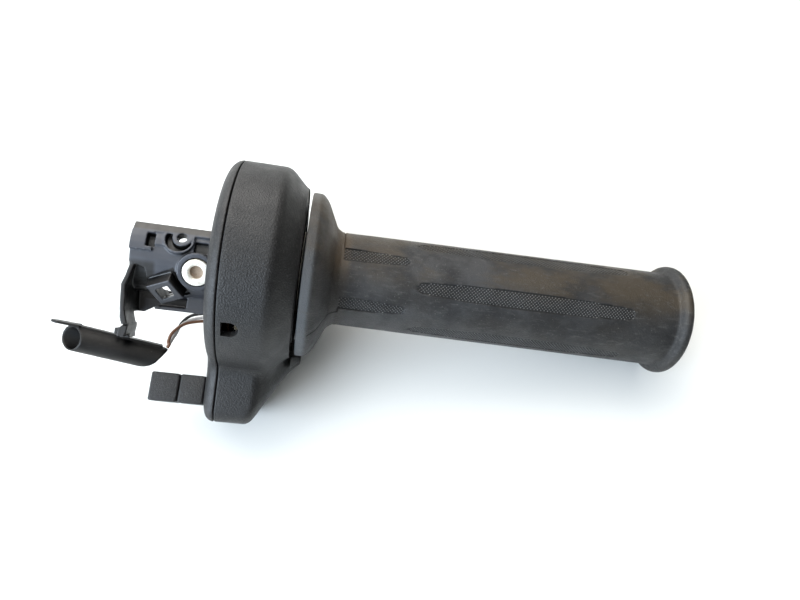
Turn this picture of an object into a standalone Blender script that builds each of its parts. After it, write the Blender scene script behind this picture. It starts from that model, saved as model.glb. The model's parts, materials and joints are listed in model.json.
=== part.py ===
"""Heated twist throttle grip with its sensor housing and switch bracket, right-hand side.

Every length below is in millimetres and is turned into metres where a mesh is made.
The parts are laid out in the grip's own frame: X runs along the handlebar toward the free
end, with x = 0 where the rubber barrel starts, and the sensor lobe of the housing points
to -Y. Angles round the bar are counted from +Z toward -Y. An empty, resting_pose, then
lays the whole assembly on its rim, its lobe and its end bead, on the plane z = 0.
"""

import bpy
import bmesh
from math import acos, atan, atan2, cos, hypot, pi, radians, sin, sqrt, tan
from mathutils import Matrix, Vector

MM = 0.001
GAP = 0.3
ROUND_STEPS = 36
SMALL_STEPS = 24

# Handlebar, throttle tube and bearings
BORE_R = 11.45
TUBE_R = 12.9
TUBE_X = (-41.0, 119.0)
BUSH_R = 14.8
RIDE_R = TUBE_R + GAP

# Rubber grip
GRIP_ROOT_R = 16.4
GRIP_MID_R = 17.0
GRIP_TIP_R = 17.55
FLANGE_R = 28.6
FLANGE_X = (-14.4, -11.5)
CREASE_X = 117.8
BEAD_R = 20.2
BEAD_X = 120.9
GRIP_END_X = 122.3
SLEEVE_X = (3.0, 106.0)
SLEEVE_R = (13.2, 14.0)

# Housing: a round rim with a lobe, split at one plane
RIM_R = 35.9
RIM_SHOULDER_X = -23.0
SPLIT_X = -37.8
LOBE_TOP = 11.5
LOBE_BOTTOM = 16.0
LOBE_REACH = 53.2
LOBE_CORNER = 6.0
LOBE_FILLET = 6.0
LOBE_SHOULDER_X = -27.0
WALL = 2.6
END_WALL_X = (-21.0, -16.5)
NECK_R = 24.5
NECK_X = -15.4
FLANGE_ROOM_R = 29.6
COVER_X = -42.2
NOTCH_ANGLE = radians(34.0)
NOTCH_R = 2.6

# Sensor gearing: the ratio is 40 to 12
MODULE = 1.5
GEAR_TEETH = 40
PINION_TEETH = 12
GEAR_X = (-33.0, -28.0)
CENTRE_DISTANCE = MODULE * (GEAR_TEETH + PINION_TEETH) / 2
PINION_Z = -2.25
PINION_Y = -sqrt(CENTRE_DISTANCE**2 - PINION_Z**2)
TRAVEL = radians(75.0)
SHAFT_R = 1.5
STOP_R = 21.0
STOP_ANGLE = radians(200.0)

# Switch bracket round the inboard end
SADDLE_R = (11.6, 14.2)
SADDLE_X = (-69.2, -42.5)
PROUD_R = 15.0
FOOT_X = -44.2
FOOT_R = 17.8
EAR_R = 24.0
EAR_SCREW_R = 20.6
CLAMP_X = -48.1
CLAMP_ANGLE = radians(16.3)
EYE_X = -54.7
EYE_ANGLE = radians(-22.8)
STRIP_EDGE_Y = 7.25
POST_X = -57.6
POST_ANGLE = radians(46.0)
POST_TURN = radians(29.0)
POST_SIDE = 8.6

# Connectors
SENSOR_BASE_X = (-50.7, -42.5)
SENSOR_SHROUD_X = (-60.2, -50.95)
SENSOR_MIDDLE = (-44.2, 1.5)
SENSOR_HALF_Y = 4.8
SENSOR_HALF_Z = 4.5
SENSOR_ROLL = radians(-13.0)
HEATER_MOUTH = Vector((-89.0, -30.4, 3.0))
HEATER_TAIL = Vector((-57.9, -35.65, -3.45))
TAIL_SLANT = radians(30.0)
TAIL_CUT = 2.5
HEATER_R = 4.2
HEATER_BORE_R = 3.6
CARRIER_X = (9.0, 20.7)
LEAD_R = 0.55

for old in list(bpy.data.objects):
    bpy.data.objects.remove(old, do_unlink=True)

PARTS = bpy.data.collections.new("throttle_grip")
CUTTERS = bpy.data.collections.new("cutters")
for group in (PARTS, CUTTERS):
    bpy.context.scene.collection.children.link(group)


def material(name, colour, roughness, metallic=0.0):
    look = bpy.data.materials.new(name)
    look.use_nodes = True
    shader = look.node_tree.nodes["Principled BSDF"]
    shader.inputs["Base Color"].default_value = (*colour, 1.0)
    shader.inputs["Roughness"].default_value = roughness
    shader.inputs["Metallic"].default_value = metallic
    return look


HOUSING = material("housing_plastic", (0.028, 0.029, 0.031), 0.55)
BRACKET = material("bracket_plastic", (0.032, 0.034, 0.040), 0.42)
RUBBER = material("grip_rubber", (0.030, 0.028, 0.026), 0.75)
TUBE_LOOK = material("tube_plastic", (0.045, 0.040, 0.035), 0.50)
BUSH_LOOK = material("bearing_plastic", (0.62, 0.60, 0.55), 0.35)
ZINC = material("zinc_metal", (0.80, 0.76, 0.66), 0.28, 1.0)
STEEL = material("spring_steel", (0.42, 0.42, 0.43), 0.35, 1.0)
GEAR_LOOK = material("gear_plastic", (0.70, 0.68, 0.60), 0.40)
FOIL = material("heater_foil", (0.35, 0.17, 0.04), 0.35)
BOARD = material("circuit_board", (0.03, 0.16, 0.08), 0.40)
TIN = material("tinned_contact", (0.72, 0.72, 0.70), 0.25, 1.0)
BROWN_WIRE = material("brown_insulation", (0.22, 0.10, 0.05), 0.45)
WHITE_WIRE = material("white_insulation", (0.66, 0.63, 0.60), 0.45)
BLACK_WIRE = material("black_insulation", (0.02, 0.02, 0.02), 0.45)


def empty(name, parent=None, matrix=None):
    holder = bpy.data.objects.new(name, None)
    PARTS.objects.link(holder)
    holder.parent = parent
    if matrix is not None:
        holder.matrix_local = metric(matrix)
    return holder


def metric(matrix):
    """The same placing with its move turned from millimetres into metres."""
    scaled = matrix.copy()
    scaled.translation = matrix.translation * MM
    return scaled


def radial(x, angle, radius=0.0):
    """Placing whose Z points away from the bar at this angle, starting at this radius."""
    return Matrix.Rotation(angle, 4, "X") @ Matrix.Translation((x, 0.0, radius))


def on_ring(angle, radius):
    """(y, z) of a point at this angle and radius."""
    return (-radius * sin(angle), radius * cos(angle))


def file_object(obj, look, parent, matrix=None):
    """Put an object among the parts, or among the cutters when it has no material."""
    home = PARTS if look else CUTTERS
    home.objects.link(obj)
    obj.parent = parent or resting
    if matrix is not None:
        obj.matrix_local = metric(matrix)
    if look:
        obj.data.materials.clear()
        obj.data.materials.append(look)
    else:
        obj.hide_render = True
        obj.display_type = "WIRE"
    return obj


def mesh_object(name, bm, look, parent, matrix=None):
    bmesh.ops.recalc_face_normals(bm, faces=bm.faces)
    mesh = bpy.data.meshes.new(name)
    bm.to_mesh(mesh)
    bm.free()
    mesh.shade_smooth()
    mesh.set_sharp_from_angle(angle=radians(35))
    return file_object(bpy.data.objects.new(name, mesh), look, parent, matrix)


def turned(name, profile, look=None, parent=None, matrix=None, steps=ROUND_STEPS):
    """A turned shape about X. Its (x, radius) profile runs down the outer side first."""
    bm = bmesh.new()
    points = [bm.verts.new((radius * MM, 0.0, x * MM)) for x, radius in profile]
    for here, there in zip(points, points[1:]):
        bm.edges.new((here, there))
    if profile[0][1] > 0.0:
        bm.edges.new((points[-1], points[0]))
    mesh = bpy.data.meshes.new(name)
    bm.to_mesh(mesh)
    bm.free()
    obj = bpy.data.objects.new(name, mesh)
    screw = obj.modifiers.new("turn", "SCREW")
    screw.axis = "Z"
    screw.angle = 2 * pi
    screw.steps = screw.render_steps = steps
    screw.use_merge_vertices = True
    screw.merge_threshold = 0.00001
    lay_down = Matrix.Rotation(pi / 2, 4, "Y")
    return file_object(obj, look, parent, (matrix or Matrix()) @ lay_down)


def ring(name, x0, x1, r0, r1, look=None, parent=None, matrix=None, steps=ROUND_STEPS):
    return turned(name, [(x1, r1), (x0, r1), (x0, r0), (x1, r0)], look, parent, matrix, steps)


def disc(name, x0, x1, radius, look=None, parent=None, matrix=None, steps=SMALL_STEPS):
    return turned(name, [(x1, 0), (x1, radius), (x0, radius), (x0, 0)], look, parent, matrix, steps)


def rod(name, x, y, z, x1, radius, look=None, parent=None, steps=SMALL_STEPS):
    """A round bar parallel to X, from x to x1, on the line through (y, z)."""
    return disc(name, x, x1, radius, look, parent, Matrix.Translation((0, y, z)), steps)


def peg(name, placing, z0, z1, radius, look=None, parent=None, steps=SMALL_STEPS):
    """A round bar along the Z of its placing."""
    upright = Matrix.Rotation(-pi / 2, 4, "Y")
    return disc(name, z0, z1, radius, look, parent, placing @ upright, steps)


def solid_from_curve(obj):
    """Turn a curve into a closed mesh: its caps and sides are welded into one skin."""
    bpy.context.view_layer.update()
    shaped = obj.evaluated_get(bpy.context.evaluated_depsgraph_get())
    mesh = bpy.data.meshes.new_from_object(shaped)
    bm = bmesh.new()
    bm.from_mesh(mesh)
    bmesh.ops.remove_doubles(bm, verts=bm.verts, dist=0.000001)
    bmesh.ops.recalc_face_normals(bm, faces=bm.faces)
    bm.to_mesh(mesh)
    bm.free()
    mesh.shade_smooth()
    mesh.set_sharp_from_angle(angle=radians(35))
    solid = bpy.data.objects.new(obj.name, mesh)
    for home in obj.users_collection:
        home.objects.link(solid)
    solid.parent = obj.parent
    solid.matrix_world = obj.matrix_world.copy()
    solid.hide_render = obj.hide_render
    solid.display_type = obj.display_type
    name = obj.name
    bpy.data.objects.remove(obj, do_unlink=True)
    solid.name = name
    return solid


def plate(name, outlines, low, high, look=None, parent=None, placing=None):
    """Flat outlines, the first one the outside and the others holes, between two heights."""
    curve = bpy.data.curves.new(name, "CURVE")
    curve.dimensions = "2D"
    curve.fill_mode = "BOTH"
    curve.extrude = (high - low) / 2 * MM
    for outline in outlines:
        spline = curve.splines.new("POLY")
        spline.points.add(len(outline) - 1)
        for point, (across, up) in zip(spline.points, outline):
            point.co = (across * MM, up * MM, 0.0, 1.0)
        spline.use_cyclic_u = True
    raised = (placing or Matrix()) @ Matrix.Translation((0, 0, (low + high) / 2))
    return solid_from_curve(file_object(bpy.data.objects.new(name, curve), look, parent, raised))


ACROSS = Matrix(((0, 0, 1, 0), (1, 0, 0, 0), (0, 1, 0, 0), (0, 0, 0, 1)))


def slab(name, outlines, x0, x1, look=None, parent=None, placing=None):
    """Outlines in (y, z), extruded along X."""
    return plate(name, outlines, x0, x1, look, parent, (placing or Matrix()) @ ACROSS)


def arc(centre, radius, start, end, steps):
    turn = (end - start) / steps
    return [
        (centre[0] + radius * cos(start + turn * k), centre[1] + radius * sin(start + turn * k))
        for k in range(steps + 1)
    ]


def sector(r0, r1, a0, a1, steps=12):
    """Outline in (y, z) of a curved wall, between two radii and two angles."""
    outer = [on_ring(a0 + (a1 - a0) * k / steps, r1) for k in range(steps + 1)]
    inner = [on_ring(a1 - (a1 - a0) * k / steps, r0) for k in range(steps + 1)]
    return outer + inner


def block(name, size, placing, look=None, parent=None, bevel=0.0):
    bm = bmesh.new()
    bmesh.ops.create_cube(bm, size=1.0)
    bmesh.ops.scale(bm, vec=Vector(size) * MM, verts=bm.verts)
    obj = mesh_object(name, bm, look, parent, placing)
    if bevel:
        edge = obj.modifiers.new("edge", "BEVEL")
        edge.width = bevel * MM
        edge.segments = 3
    return obj


def box(name, x, y, z, look=None, parent=None, bevel=0.0):
    """A block between its (low, high) pairs in x, y and z."""
    size = [high - low for low, high in (x, y, z)]
    middle = [(low + high) / 2 for low, high in (x, y, z)]
    return block(name, size, Matrix.Translation(middle), look, parent, bevel)


def loft(name, sections, look=None, parent=None):
    """A closed skin over (x, outline) sections that all have the same number of points."""
    bm = bmesh.new()
    rings = [[bm.verts.new((x * MM, y * MM, z * MM)) for y, z in outline] for x, outline in sections]
    for here, there in zip(rings, rings[1:]):
        for k in range(len(here)):
            bm.faces.new((here[k - 1], here[k], there[k], there[k - 1]))
    bm.faces.new(rings[0])
    bm.faces.new(rings[-1])
    return mesh_object(name, bm, look, parent)


def combine(target, tools, operation="DIFFERENCE"):
    for tool in tools:
        change = target.modifiers.new(tool.name, "BOOLEAN")
        change.operation = operation
        change.solver = "EXACT"
        change.object = tool


def cut(target, *tools):
    combine(target, tools)


def join(target, *tools):
    combine(target, tools, "UNION")


def smooth_route(points, steps=3):
    """Points along a smooth curve through the route's own points."""
    ends = [points[0]] + list(points) + [points[-1]]
    route = []
    for before, here, there, after in zip(ends, ends[1:], ends[2:], ends[3:]):
        for k in range(steps):
            t = k / steps
            a = here * 2.0
            b = (there - before) * t
            c = (before * 2.0 - here * 5.0 + there * 4.0 - after) * t * t
            d = (here * 3.0 - before - there * 3.0 + after) * t**3
            route.append((a + b + c + d) / 2.0)
    return route + [Vector(points[-1])]


def wire(name, points, radius, look, parent=None):
    curve = bpy.data.curves.new(name, "CURVE")
    curve.dimensions = "3D"
    curve.bevel_depth = radius * MM
    curve.bevel_resolution = 2
    curve.use_fill_caps = True
    spline = curve.splines.new("POLY")
    spline.points.add(len(points) - 1)
    for point, place in zip(spline.points, points):
        point.co = (*(Vector(place) * MM), 1.0)
    return file_object(bpy.data.objects.new(name, curve), look, parent)


def housing_outline(inset=0.0, radius=RIM_R, top=LOBE_TOP, bottom=LOBE_BOTTOM, reach=LOBE_REACH,
                    corner=LOBE_CORNER, fillet=LOBE_FILLET):
    """Round rim and square lobe in one outline, with round corners and filleted roots."""
    radius, top, bottom, reach = (size - inset for size in (radius, top, bottom, reach))
    corner = max(corner - inset, 0.6)
    fillet = fillet + inset
    upper_z = top + fillet
    upper_y = -sqrt((radius + fillet) ** 2 - upper_z**2)
    lower_z = -bottom - fillet
    lower_y = -sqrt((radius + fillet) ** 2 - lower_z**2)
    start = atan2(upper_z, upper_y)
    end = atan2(lower_z, lower_y)
    outline = arc((0, 0), radius, start, end, 38)
    outline += arc((lower_y, lower_z), fillet, end + pi, pi / 2, 4)[1:]
    outline += arc((-reach + corner, -bottom + corner), corner, -pi / 2, -pi, 4)
    outline += arc((-reach + corner, top - corner), corner, pi, pi / 2, 4)
    outline += arc((upper_y, upper_z), fillet, -pi / 2, start - pi, 4)[:-1]
    return outline


def gear_outline(teeth, first, last, bare_radius):
    """Toothed outline, teeth numbered from first to last; the rest is a plain arc."""
    pitch_r = MODULE * teeth / 2
    root_r = pitch_r - 1.15 * MODULE
    tip_r = pitch_r + 0.75 * MODULE
    step = 2 * pi / teeth
    outline = []
    for k in range(teeth):
        middle = k * step
        if not first <= k <= last:
            outline.append((middle, bare_radius))
            continue
        for share, radius in ((-0.30, root_r), (-0.10, tip_r), (0.10, tip_r), (0.30, root_r)):
            outline.append((middle + share * step, radius))
    return [(radius * cos(angle), radius * sin(angle)) for angle, radius in outline]


LOBE_CORNER_Y = 4.2 - LOBE_REACH
SCREW_PLACES = (
    (LOBE_CORNER_Y, 6.0),
    (LOBE_CORNER_Y, -10.6),
    (29.8 * cos(radians(35)), 29.8 * sin(radians(35))),
    (29.8 * cos(radians(35)), -29.8 * sin(radians(35))),
)


def housing_shell():
    """Grip-side half: open toward the cover, with the neck that the tube turns in."""
    ramp = (
        (SPLIT_X, RIM_R, LOBE_TOP, LOBE_REACH, LOBE_CORNER, LOBE_FILLET),
        (LOBE_SHOULDER_X, RIM_R, LOBE_TOP, LOBE_REACH, LOBE_CORNER, LOBE_FILLET),
        (-25.2, RIM_R, LOBE_TOP, 51.2, 6.0, 6.0),
        (RIM_SHOULDER_X, RIM_R, 9.4, 47.0, 5.0, 5.0),
        (-20.6, 34.0, 6.0, 43.2, 4.0, 4.0),
        (-18.3, 31.4, 2.6, 39.4, 3.0, 3.0),
        (END_WALL_X[1], 29.9, -0.4, 36.6, 3.0, 2.5),
        (END_WALL_X[1] + 0.1, 29.2, -0.6, 36.5, 3.0, 2.5),
        (-14.0, 29.2, -4.4, 34.2, 2.5, 1.8),
        (-12.2, 29.2, -7.0, 32.4, 2.0, 1.2),
    )
    sections = [
        (x, housing_outline(0, radius, top, LOBE_BOTTOM, reach, corner, fillet))
        for x, radius, top, reach, corner, fillet in ramp
    ]
    shell = loft("housing_shell", sections, HOUSING)
    inside = housing_outline(WALL)
    hollow = slab("shell_hollow", [inside], SPLIT_X - 2, LOBE_SHOULDER_X - 0.5)
    room_x, room_r = END_WALL_X[0], 30.2
    bore = turned("shell_bore", [
        (-8, 0), (-8, FLANGE_ROOM_R), (END_WALL_X[1], FLANGE_ROOM_R), (END_WALL_X[1], NECK_R),
        (NECK_X, NECK_R), (NECK_X, BUSH_R + GAP), (room_x, BUSH_R + GAP), (room_x, room_r),
        (room_x - 3, RIM_R - WALL - 0.4), (-28.5, RIM_R - WALL - 0.4), (-28.5, 0),
    ])
    cut(shell, hollow, bore)
    for k, (y, z) in enumerate(SCREW_PLACES):
        foot_x = LOBE_SHOULDER_X + 0.8 if y < 0 else END_WALL_X[0] + 1.5
        join(shell, rod(f"screw_post_{k}", SPLIT_X, y, z, foot_x, 2.5, steps=16))
        cut(shell, rod(f"screw_pilot_{k}", SPLIT_X - 1, y, z, -29.5, 1.65, steps=12))
    placing = radial(SPLIT_X, NOTCH_ANGLE)
    slot = peg("notch_end", placing @ Matrix.Translation((4.2, 0, 0)), 31.5, 38, NOTCH_R)
    mouth = block("notch_mouth", (2.9, 2 * NOTCH_R, 6.5),
                  placing @ Matrix.Translation((3.0, 0, 34.75)))
    cut(shell, slot, mouth)
    cut(shell, rod("shaft_seat", -28.2, PINION_Y, PINION_Z, -25.5, SHAFT_R + GAP, steps=16))
    cut(shell, rod("stop_seat", -22, *on_ring(STOP_ANGLE, STOP_R), -18.5, 1.3 + GAP, steps=16))


def housing_cover():
    """Inboard half: a domed plate that closes the shell and carries the bracket."""
    dome = ((SPLIT_X - GAP, 0), (-39.6, 0.3), (-40.7, 1.2), (-41.5, 2.8), (COVER_X, 5.6))
    cover = loft("housing_cover", [(x, housing_outline(inset)) for x, inset in dome], HOUSING)
    cut(cover, disc("cover_bore", -50, -30, BUSH_R + GAP, steps=ROUND_STEPS))
    cut(cover, disc("bearing_seat", -39.6, -30, 16.7, steps=ROUND_STEPS))
    cut(cover, ring("cover_hollow", -39.8, -36, 19.0, 26.5))
    cut(cover, box("board_hollow", (-39.8, -36), (-45.6, -29), (-10, 6)))
    groove = slab("seal_groove", [housing_outline(0.7), housing_outline(2.1)], -38.9, -37)
    cut(cover, groove)
    for k, (y, z) in enumerate(SCREW_PLACES):
        cut(cover, rod(f"screw_clearance_{k}", -45, y, z, -36, 1.7, steps=12))
        cut(cover, rod(f"screw_counterbore_{k}", -45, y, z, -39.6, 2.8, steps=16))
    for k, angle in enumerate(BRACKET_SCREW_ANGLES):
        y, z = on_ring(angle, EAR_SCREW_R)
        cut(cover, rod(f"bracket_pilot_{k}", -45, y, z, -40.4, 1.6, steps=12))


def housing_fasteners():
    seal = [housing_outline(1.0), housing_outline(1.8)]
    slab("cover_seal", seal, -38.6, -38.15, RUBBER)
    for k, (y, z) in enumerate(SCREW_PLACES):
        profile = [(-30.0, 0), (-30.0, 1.35), (-39.9, 1.35), (-39.9, 2.4), (-41.1, 2.4), (-41.1, 1.2),
                   (-40.5, 0.9), (-40.5, 0)]
        turned(f"housing_screw_{k + 1}", profile, STEEL, None, Matrix.Translation((0, y, z)), 12)


def bearings():
    ring("outboard_bearing", -20.8, NECK_X, RIDE_R, BUSH_R, BUSH_LOOK)
    inboard = [(-38.6, 16.4), (-39.3, 16.4), (-39.3, BUSH_R), (-41.9, BUSH_R), (-41.9, RIDE_R),
               (-38.6, RIDE_R)]
    turned("inboard_bearing", inboard, BUSH_LOOK)


def throttle_tube():
    ring("throttle_tube", TUBE_X[0], TUBE_X[1], BORE_R, TUBE_R, TUBE_LOOK, twist)


def heater_sleeve():
    ring("heater_sleeve", SLEEVE_X[0], SLEEVE_X[1], SLEEVE_R[0], SLEEVE_R[1], FOIL, twist)


def grip_rubber():
    """Flange, barrel and end bead, moulded over the heater sleeve."""
    pocket_r = SLEEVE_R[1] + GAP
    edge = GRIP_END_X - BEAD_X
    profile = arc((BEAD_X, BEAD_R - edge), edge, 0, pi / 2, 3) + [
        (119.7, BEAD_R - 0.1), (118.7, BEAD_R - 0.9), (CREASE_X, GRIP_TIP_R + 0.1),
        (CREASE_X - 1.2, GRIP_TIP_R), (60.0, GRIP_MID_R), (8.0, GRIP_ROOT_R + 0.1), (0.0, GRIP_ROOT_R),
        (-3.2, GRIP_ROOT_R + 0.3), (-4.6, 17.7), (-5.6, 19.6), (-8.4, 25.6), (-9.6, 27.2),
        (FLANGE_X[1], FLANGE_R), (FLANGE_X[0] + 1.0, FLANGE_R), (FLANGE_X[0] + 0.2, FLANGE_R - 0.5),
        (FLANGE_X[0], FLANGE_R - 1.2), (FLANGE_X[0], RIDE_R),
        (SLEEVE_X[0] - GAP, RIDE_R), (SLEEVE_X[0] - GAP, pocket_r),
        (SLEEVE_X[1] + GAP, pocket_r), (SLEEVE_X[1] + GAP, RIDE_R), (GRIP_END_X, RIDE_R),
    ]
    turned("grip_rubber", profile, RUBBER, twist)


def drive_gear():
    """Sector gear on the tube. An arc slot round the stop pin limits its +X turn."""
    step = 2 * pi / GEAR_TEETH
    pinion_at = atan2(PINION_Z, PINION_Y) % (2 * pi)
    teeth = gear_outline(GEAR_TEETH, 10, 22, 24.0)
    turn = Matrix.Rotation(pinion_at - 20 * step, 4, "X")
    gear = slab("drive_gear", [teeth], GEAR_X[0], GEAR_X[1], GEAR_LOOK, twist, turn)
    cut(gear, disc("gear_bore", -40, -20, RIDE_R, None, twist, steps=ROUND_STEPS))
    spare = radians(5)
    slot = sector(STOP_R - 1.9, STOP_R + 1.9, STOP_ANGLE - TRAVEL - spare, STOP_ANGLE + spare)
    cut(gear, slab("travel_slot", [slot], -36, -25, None, twist))
    ring("gear_retainer", GEAR_X[0] - 1.3, GEAR_X[0] - GAP, RIDE_R, 15.4, STEEL, twist)
    ring("thrust_washer", GEAR_X[1] + GAP, -21.4, RIDE_R, 18.0, BUSH_LOOK, twist)


def sensor_rotor():
    step = 2 * pi / PINION_TEETH
    to_gear = atan2(-PINION_Z, -PINION_Y)
    turn = Matrix.Rotation(to_gear - step / 2, 4, "X")
    outline = gear_outline(PINION_TEETH, 0, PINION_TEETH, 0.0)
    pinion = slab("sensor_pinion", [outline], GEAR_X[0] - 0.4, GEAR_X[1], GEAR_LOOK, rotor, turn)
    cut(pinion, disc("pinion_bore", -40, -20, SHAFT_R + GAP, None, rotor, steps=16))
    ring("sensor_magnet", -35.4, GEAR_X[0] - 0.4 - GAP, SHAFT_R + GAP, 5.0, STEEL, rotor, steps=24)
    rod("pinion_shaft", -34.4, PINION_Y, PINION_Z, -25.8, SHAFT_R, STEEL, steps=16)


def sensor_electronics():
    box("sensor_board", (-39.4, -37.9), (-45.2, -29.4), (-9.6, 5.6), BOARD)
    box("hall_sensor", (-37.6, -36.4), (PINION_Y - 2.5, PINION_Y + 2.5),
        (PINION_Z - 2.0, PINION_Z + 2.0), BLACK_WIRE)


def return_spring():
    """Three turns of wire round the tube, tied to the gear and to the cover."""
    turns, per_turn = 2.75, 16
    count = int(turns * per_turn)
    coil = [
        (-35.0 - 2.2 * k / count, *on_ring(radians(90) + 2 * pi * k / per_turn, 18.6 + 1.8 * k / count))
        for k in range(count + 1)
    ]
    wire("return_spring", coil, 0.55, STEEL)


def travel_stop():
    y, z = on_ring(STOP_ANGLE, STOP_R)
    rod("stop_pin", -33.6, y, z, -18.8, 1.3, STEEL, steps=16)


BRACKET_SCREW_ANGLES = (radians(-105), radians(139))


def switch_bracket():
    """Saddle on the inboard side, with its clamp boss, eye, square post and wing.

    Its pieces start inside the bar's room and run past the cover's face. The last cuts, the
    bar's room and the end trim, make both of those faces in one go.
    """
    inner, outer = SADDLE_R
    left, right = SADDLE_X
    root = inner - 0.6
    wall = slab("switch_bracket", [sector(root, outer, radians(-42.6), radians(86), 16)],
                left, right + 0.5, BRACKET)
    strip = sector(root + 0.1, PROUD_R, radians(-42), radians(-29), 3)
    end_pad = sector(root + 0.2, PROUD_R + 0.1, radians(-30), radians(-4), 3)
    rib = sector(root + 0.3, PROUD_R - 0.2, radians(-30), radians(-12), 2)
    foot = sector(root + 0.4, FOOT_R, radians(-118), radians(152), 24)
    ears = [sector(FOOT_R - 1, EAR_R, angle - radians(13), angle + radians(13), 4)
            for angle in BRACKET_SCREW_ANGLES]
    join(
        wall,
        slab("top_strip", [strip], left - 0.1, right + 0.7),
        slab("end_pad", [end_pad], left - 0.2, left + 6.8),
        slab("mid_rib", [rib], -62.0, -58.2),
        slab("foot", [foot], FOOT_X, right + 0.9),
        slab("upper_ear", ears[:1], FOOT_X - 0.1, right + 0.8),
        slab("lower_ear", ears[1:], FOOT_X - 0.1, right + 0.6),
        box("shelf_wall", (-61.5, right + 1.1), (-17.8, -16.6), (-3.0, 6.4)),
        box("shelf_top", (-51.5, right + 1.3), (-17.7, -11.5), (4.9, 6.3)),
        box("shelf_floor", (-61.4, right + 1.5), (-17.6, -11.6), (-2.9, -1.6)),
    )

    hollow = [(-69.6, -3.0), (-64.3, -4.6), (-63.4, -9.5), (-62.0, -10.0), (-61.7, -16.5), (-70.4, -16.5)]
    cut(wall, plate("wing_hollow", [hollow], 0.5, 20))
    sheet = sector(root + 0.2, inner + 0.9, radians(11), radians(84), 8)
    join(wall, slab("hollow_sheet", [sheet], left - 0.3, -60))

    seat = radial(POST_X, POST_ANGLE) @ Matrix.Rotation(POST_TURN, 4, "Z")
    channel = POST_SIDE + 2.4
    cut(wall, block("post_channel", (channel, channel, 6),
                    seat @ Matrix.Translation((0, 0, inner + 4.0))))
    join(wall, block("post", (POST_SIDE, POST_SIDE, 5.2), seat @ Matrix.Translation((0, 0, 14.0))))
    y, z = on_ring(POST_ANGLE, 16.6)
    steep = Matrix.Translation((POST_X, y, z)) @ Matrix.Rotation(radians(13), 4, "X")
    hole = steep @ Matrix.Rotation(POST_TURN, 4, "Z") @ Matrix.Translation((0, 0, -9))
    cut(wall, block("post_hole", (4.4, 4.0, 22), hole))

    clamp = radial(CLAMP_X, CLAMP_ANGLE)
    eye = radial(EYE_X, EYE_ANGLE)
    stud = radial(EYE_X + 0.9, EYE_ANGLE - radians(2.5))
    join(wall, peg("clamp_boss", clamp, root + 0.3, PROUD_R - 0.1, 6.3))
    plate_piece = peg("eye_wall", eye, root + 0.5, PROUD_R - 0.05, 4.9)
    crescent = peg("eye_pocket", eye, inner + 0.9, 20, 4.2)
    stud_piece = peg("eye_stud", stud, root + 0.2, PROUD_R, 3.1)
    for k, piece in enumerate((plate_piece, crescent, stud_piece)):
        edge_y = STRIP_EDGE_Y - 0.1 * k
        cut(piece, box(f"eye_trim_{k}", (-63.0, -46.0), (edge_y, 30), (-5, 40)))
    join(wall, plate_piece)
    cut(wall, crescent)
    join(wall, stud_piece)
    cut(wall, peg("eye_hole", stud, 8, 20, 1.6, steps=12))
    cut(wall, peg("clamp_seat", clamp, 12.4, 20, 4.7))
    pocket = sector(inner + 1.0, 20, radians(-23), radians(-8), 3)
    slot = sector(inner + 0.8, 20, radians(-27), radians(-9), 3)
    cut(wall, slab("side_pocket", [pocket], -49.7, -45.3), slab("pad_slot", [slot], -64.5, -61.9))
    join(wall, *wing())
    cut(wall, box("wing_relief", (-75, -60), (-30, -19.6), (-5, 3.4)))
    cut(wall, disc("bar_room", left - 5, right + 5, inner, steps=ROUND_STEPS))
    cut(wall, box("end_trim", (right, right + 10), (-40, 40), (-40, 40)))
    for k, angle in enumerate(BRACKET_SCREW_ANGLES):
        y, z = on_ring(angle, EAR_SCREW_R)
        cut(wall, rod(f"bracket_clearance_{k}", -50, y, z, -40, 1.6, steps=12))
    for change in wall.modifiers:
        change.solver = "MANIFOLD"


def wing():
    """Thin curved wall at the inboard end, and the floor behind it."""
    outside = [(-68.6, -2.6), (-69.9, -8.0), (-70.8, -10.6), (-70.3, -18.6), (-70.0, -21.2),
               (-69.3, -23.4)]
    inside = [(-67.4, -23.2), (-68.3, -20.4), (-68.8, -18.2), (-69.3, -10.8), (-68.5, -8.0),
              (-67.2, -3.2)]
    floor = [(-69.7, -8.4), (-69.4, -19.0), (-68.4, -20.6), (-63.5, -17.6), (-60.0, -16.9),
             (-60.0, -8.4)]
    return (
        plate("wing_strip", [outside + inside], -3.1, 13.4),
        plate("wing_floor", [floor], -2.8, -1.5),
    )


def bracket_hardware():
    clamp = radial(CLAMP_X, CLAMP_ANGLE)
    upright = clamp @ Matrix.Rotation(-pi / 2, 4, "Y")
    rim_x = PROUD_R + 0.4
    cup = [(13.3, 0), (13.3, 2.15), (rim_x, 2.15), (rim_x, 4.35), (12.7, 4.35), (12.7, 0)]
    turned("clamp_bush", cup, ZINC, None, upright, SMALL_STEPS)
    for k, angle in enumerate(BRACKET_SCREW_ANGLES):
        y, z = on_ring(angle, EAR_SCREW_R)
        profile = [(-40.8, 0), (-40.8, 1.25), (FOOT_X - GAP, 1.25), (FOOT_X - GAP, 2.5),
                   (FOOT_X - 1.8, 2.5), (FOOT_X - 1.8, 1.1), (FOOT_X - 1.0, 0.8), (FOOT_X - 1.0, 0)]
        turned(f"bracket_screw_{k + 1}", profile, STEEL, None, Matrix.Translation((0, y, z)), 12)


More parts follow.
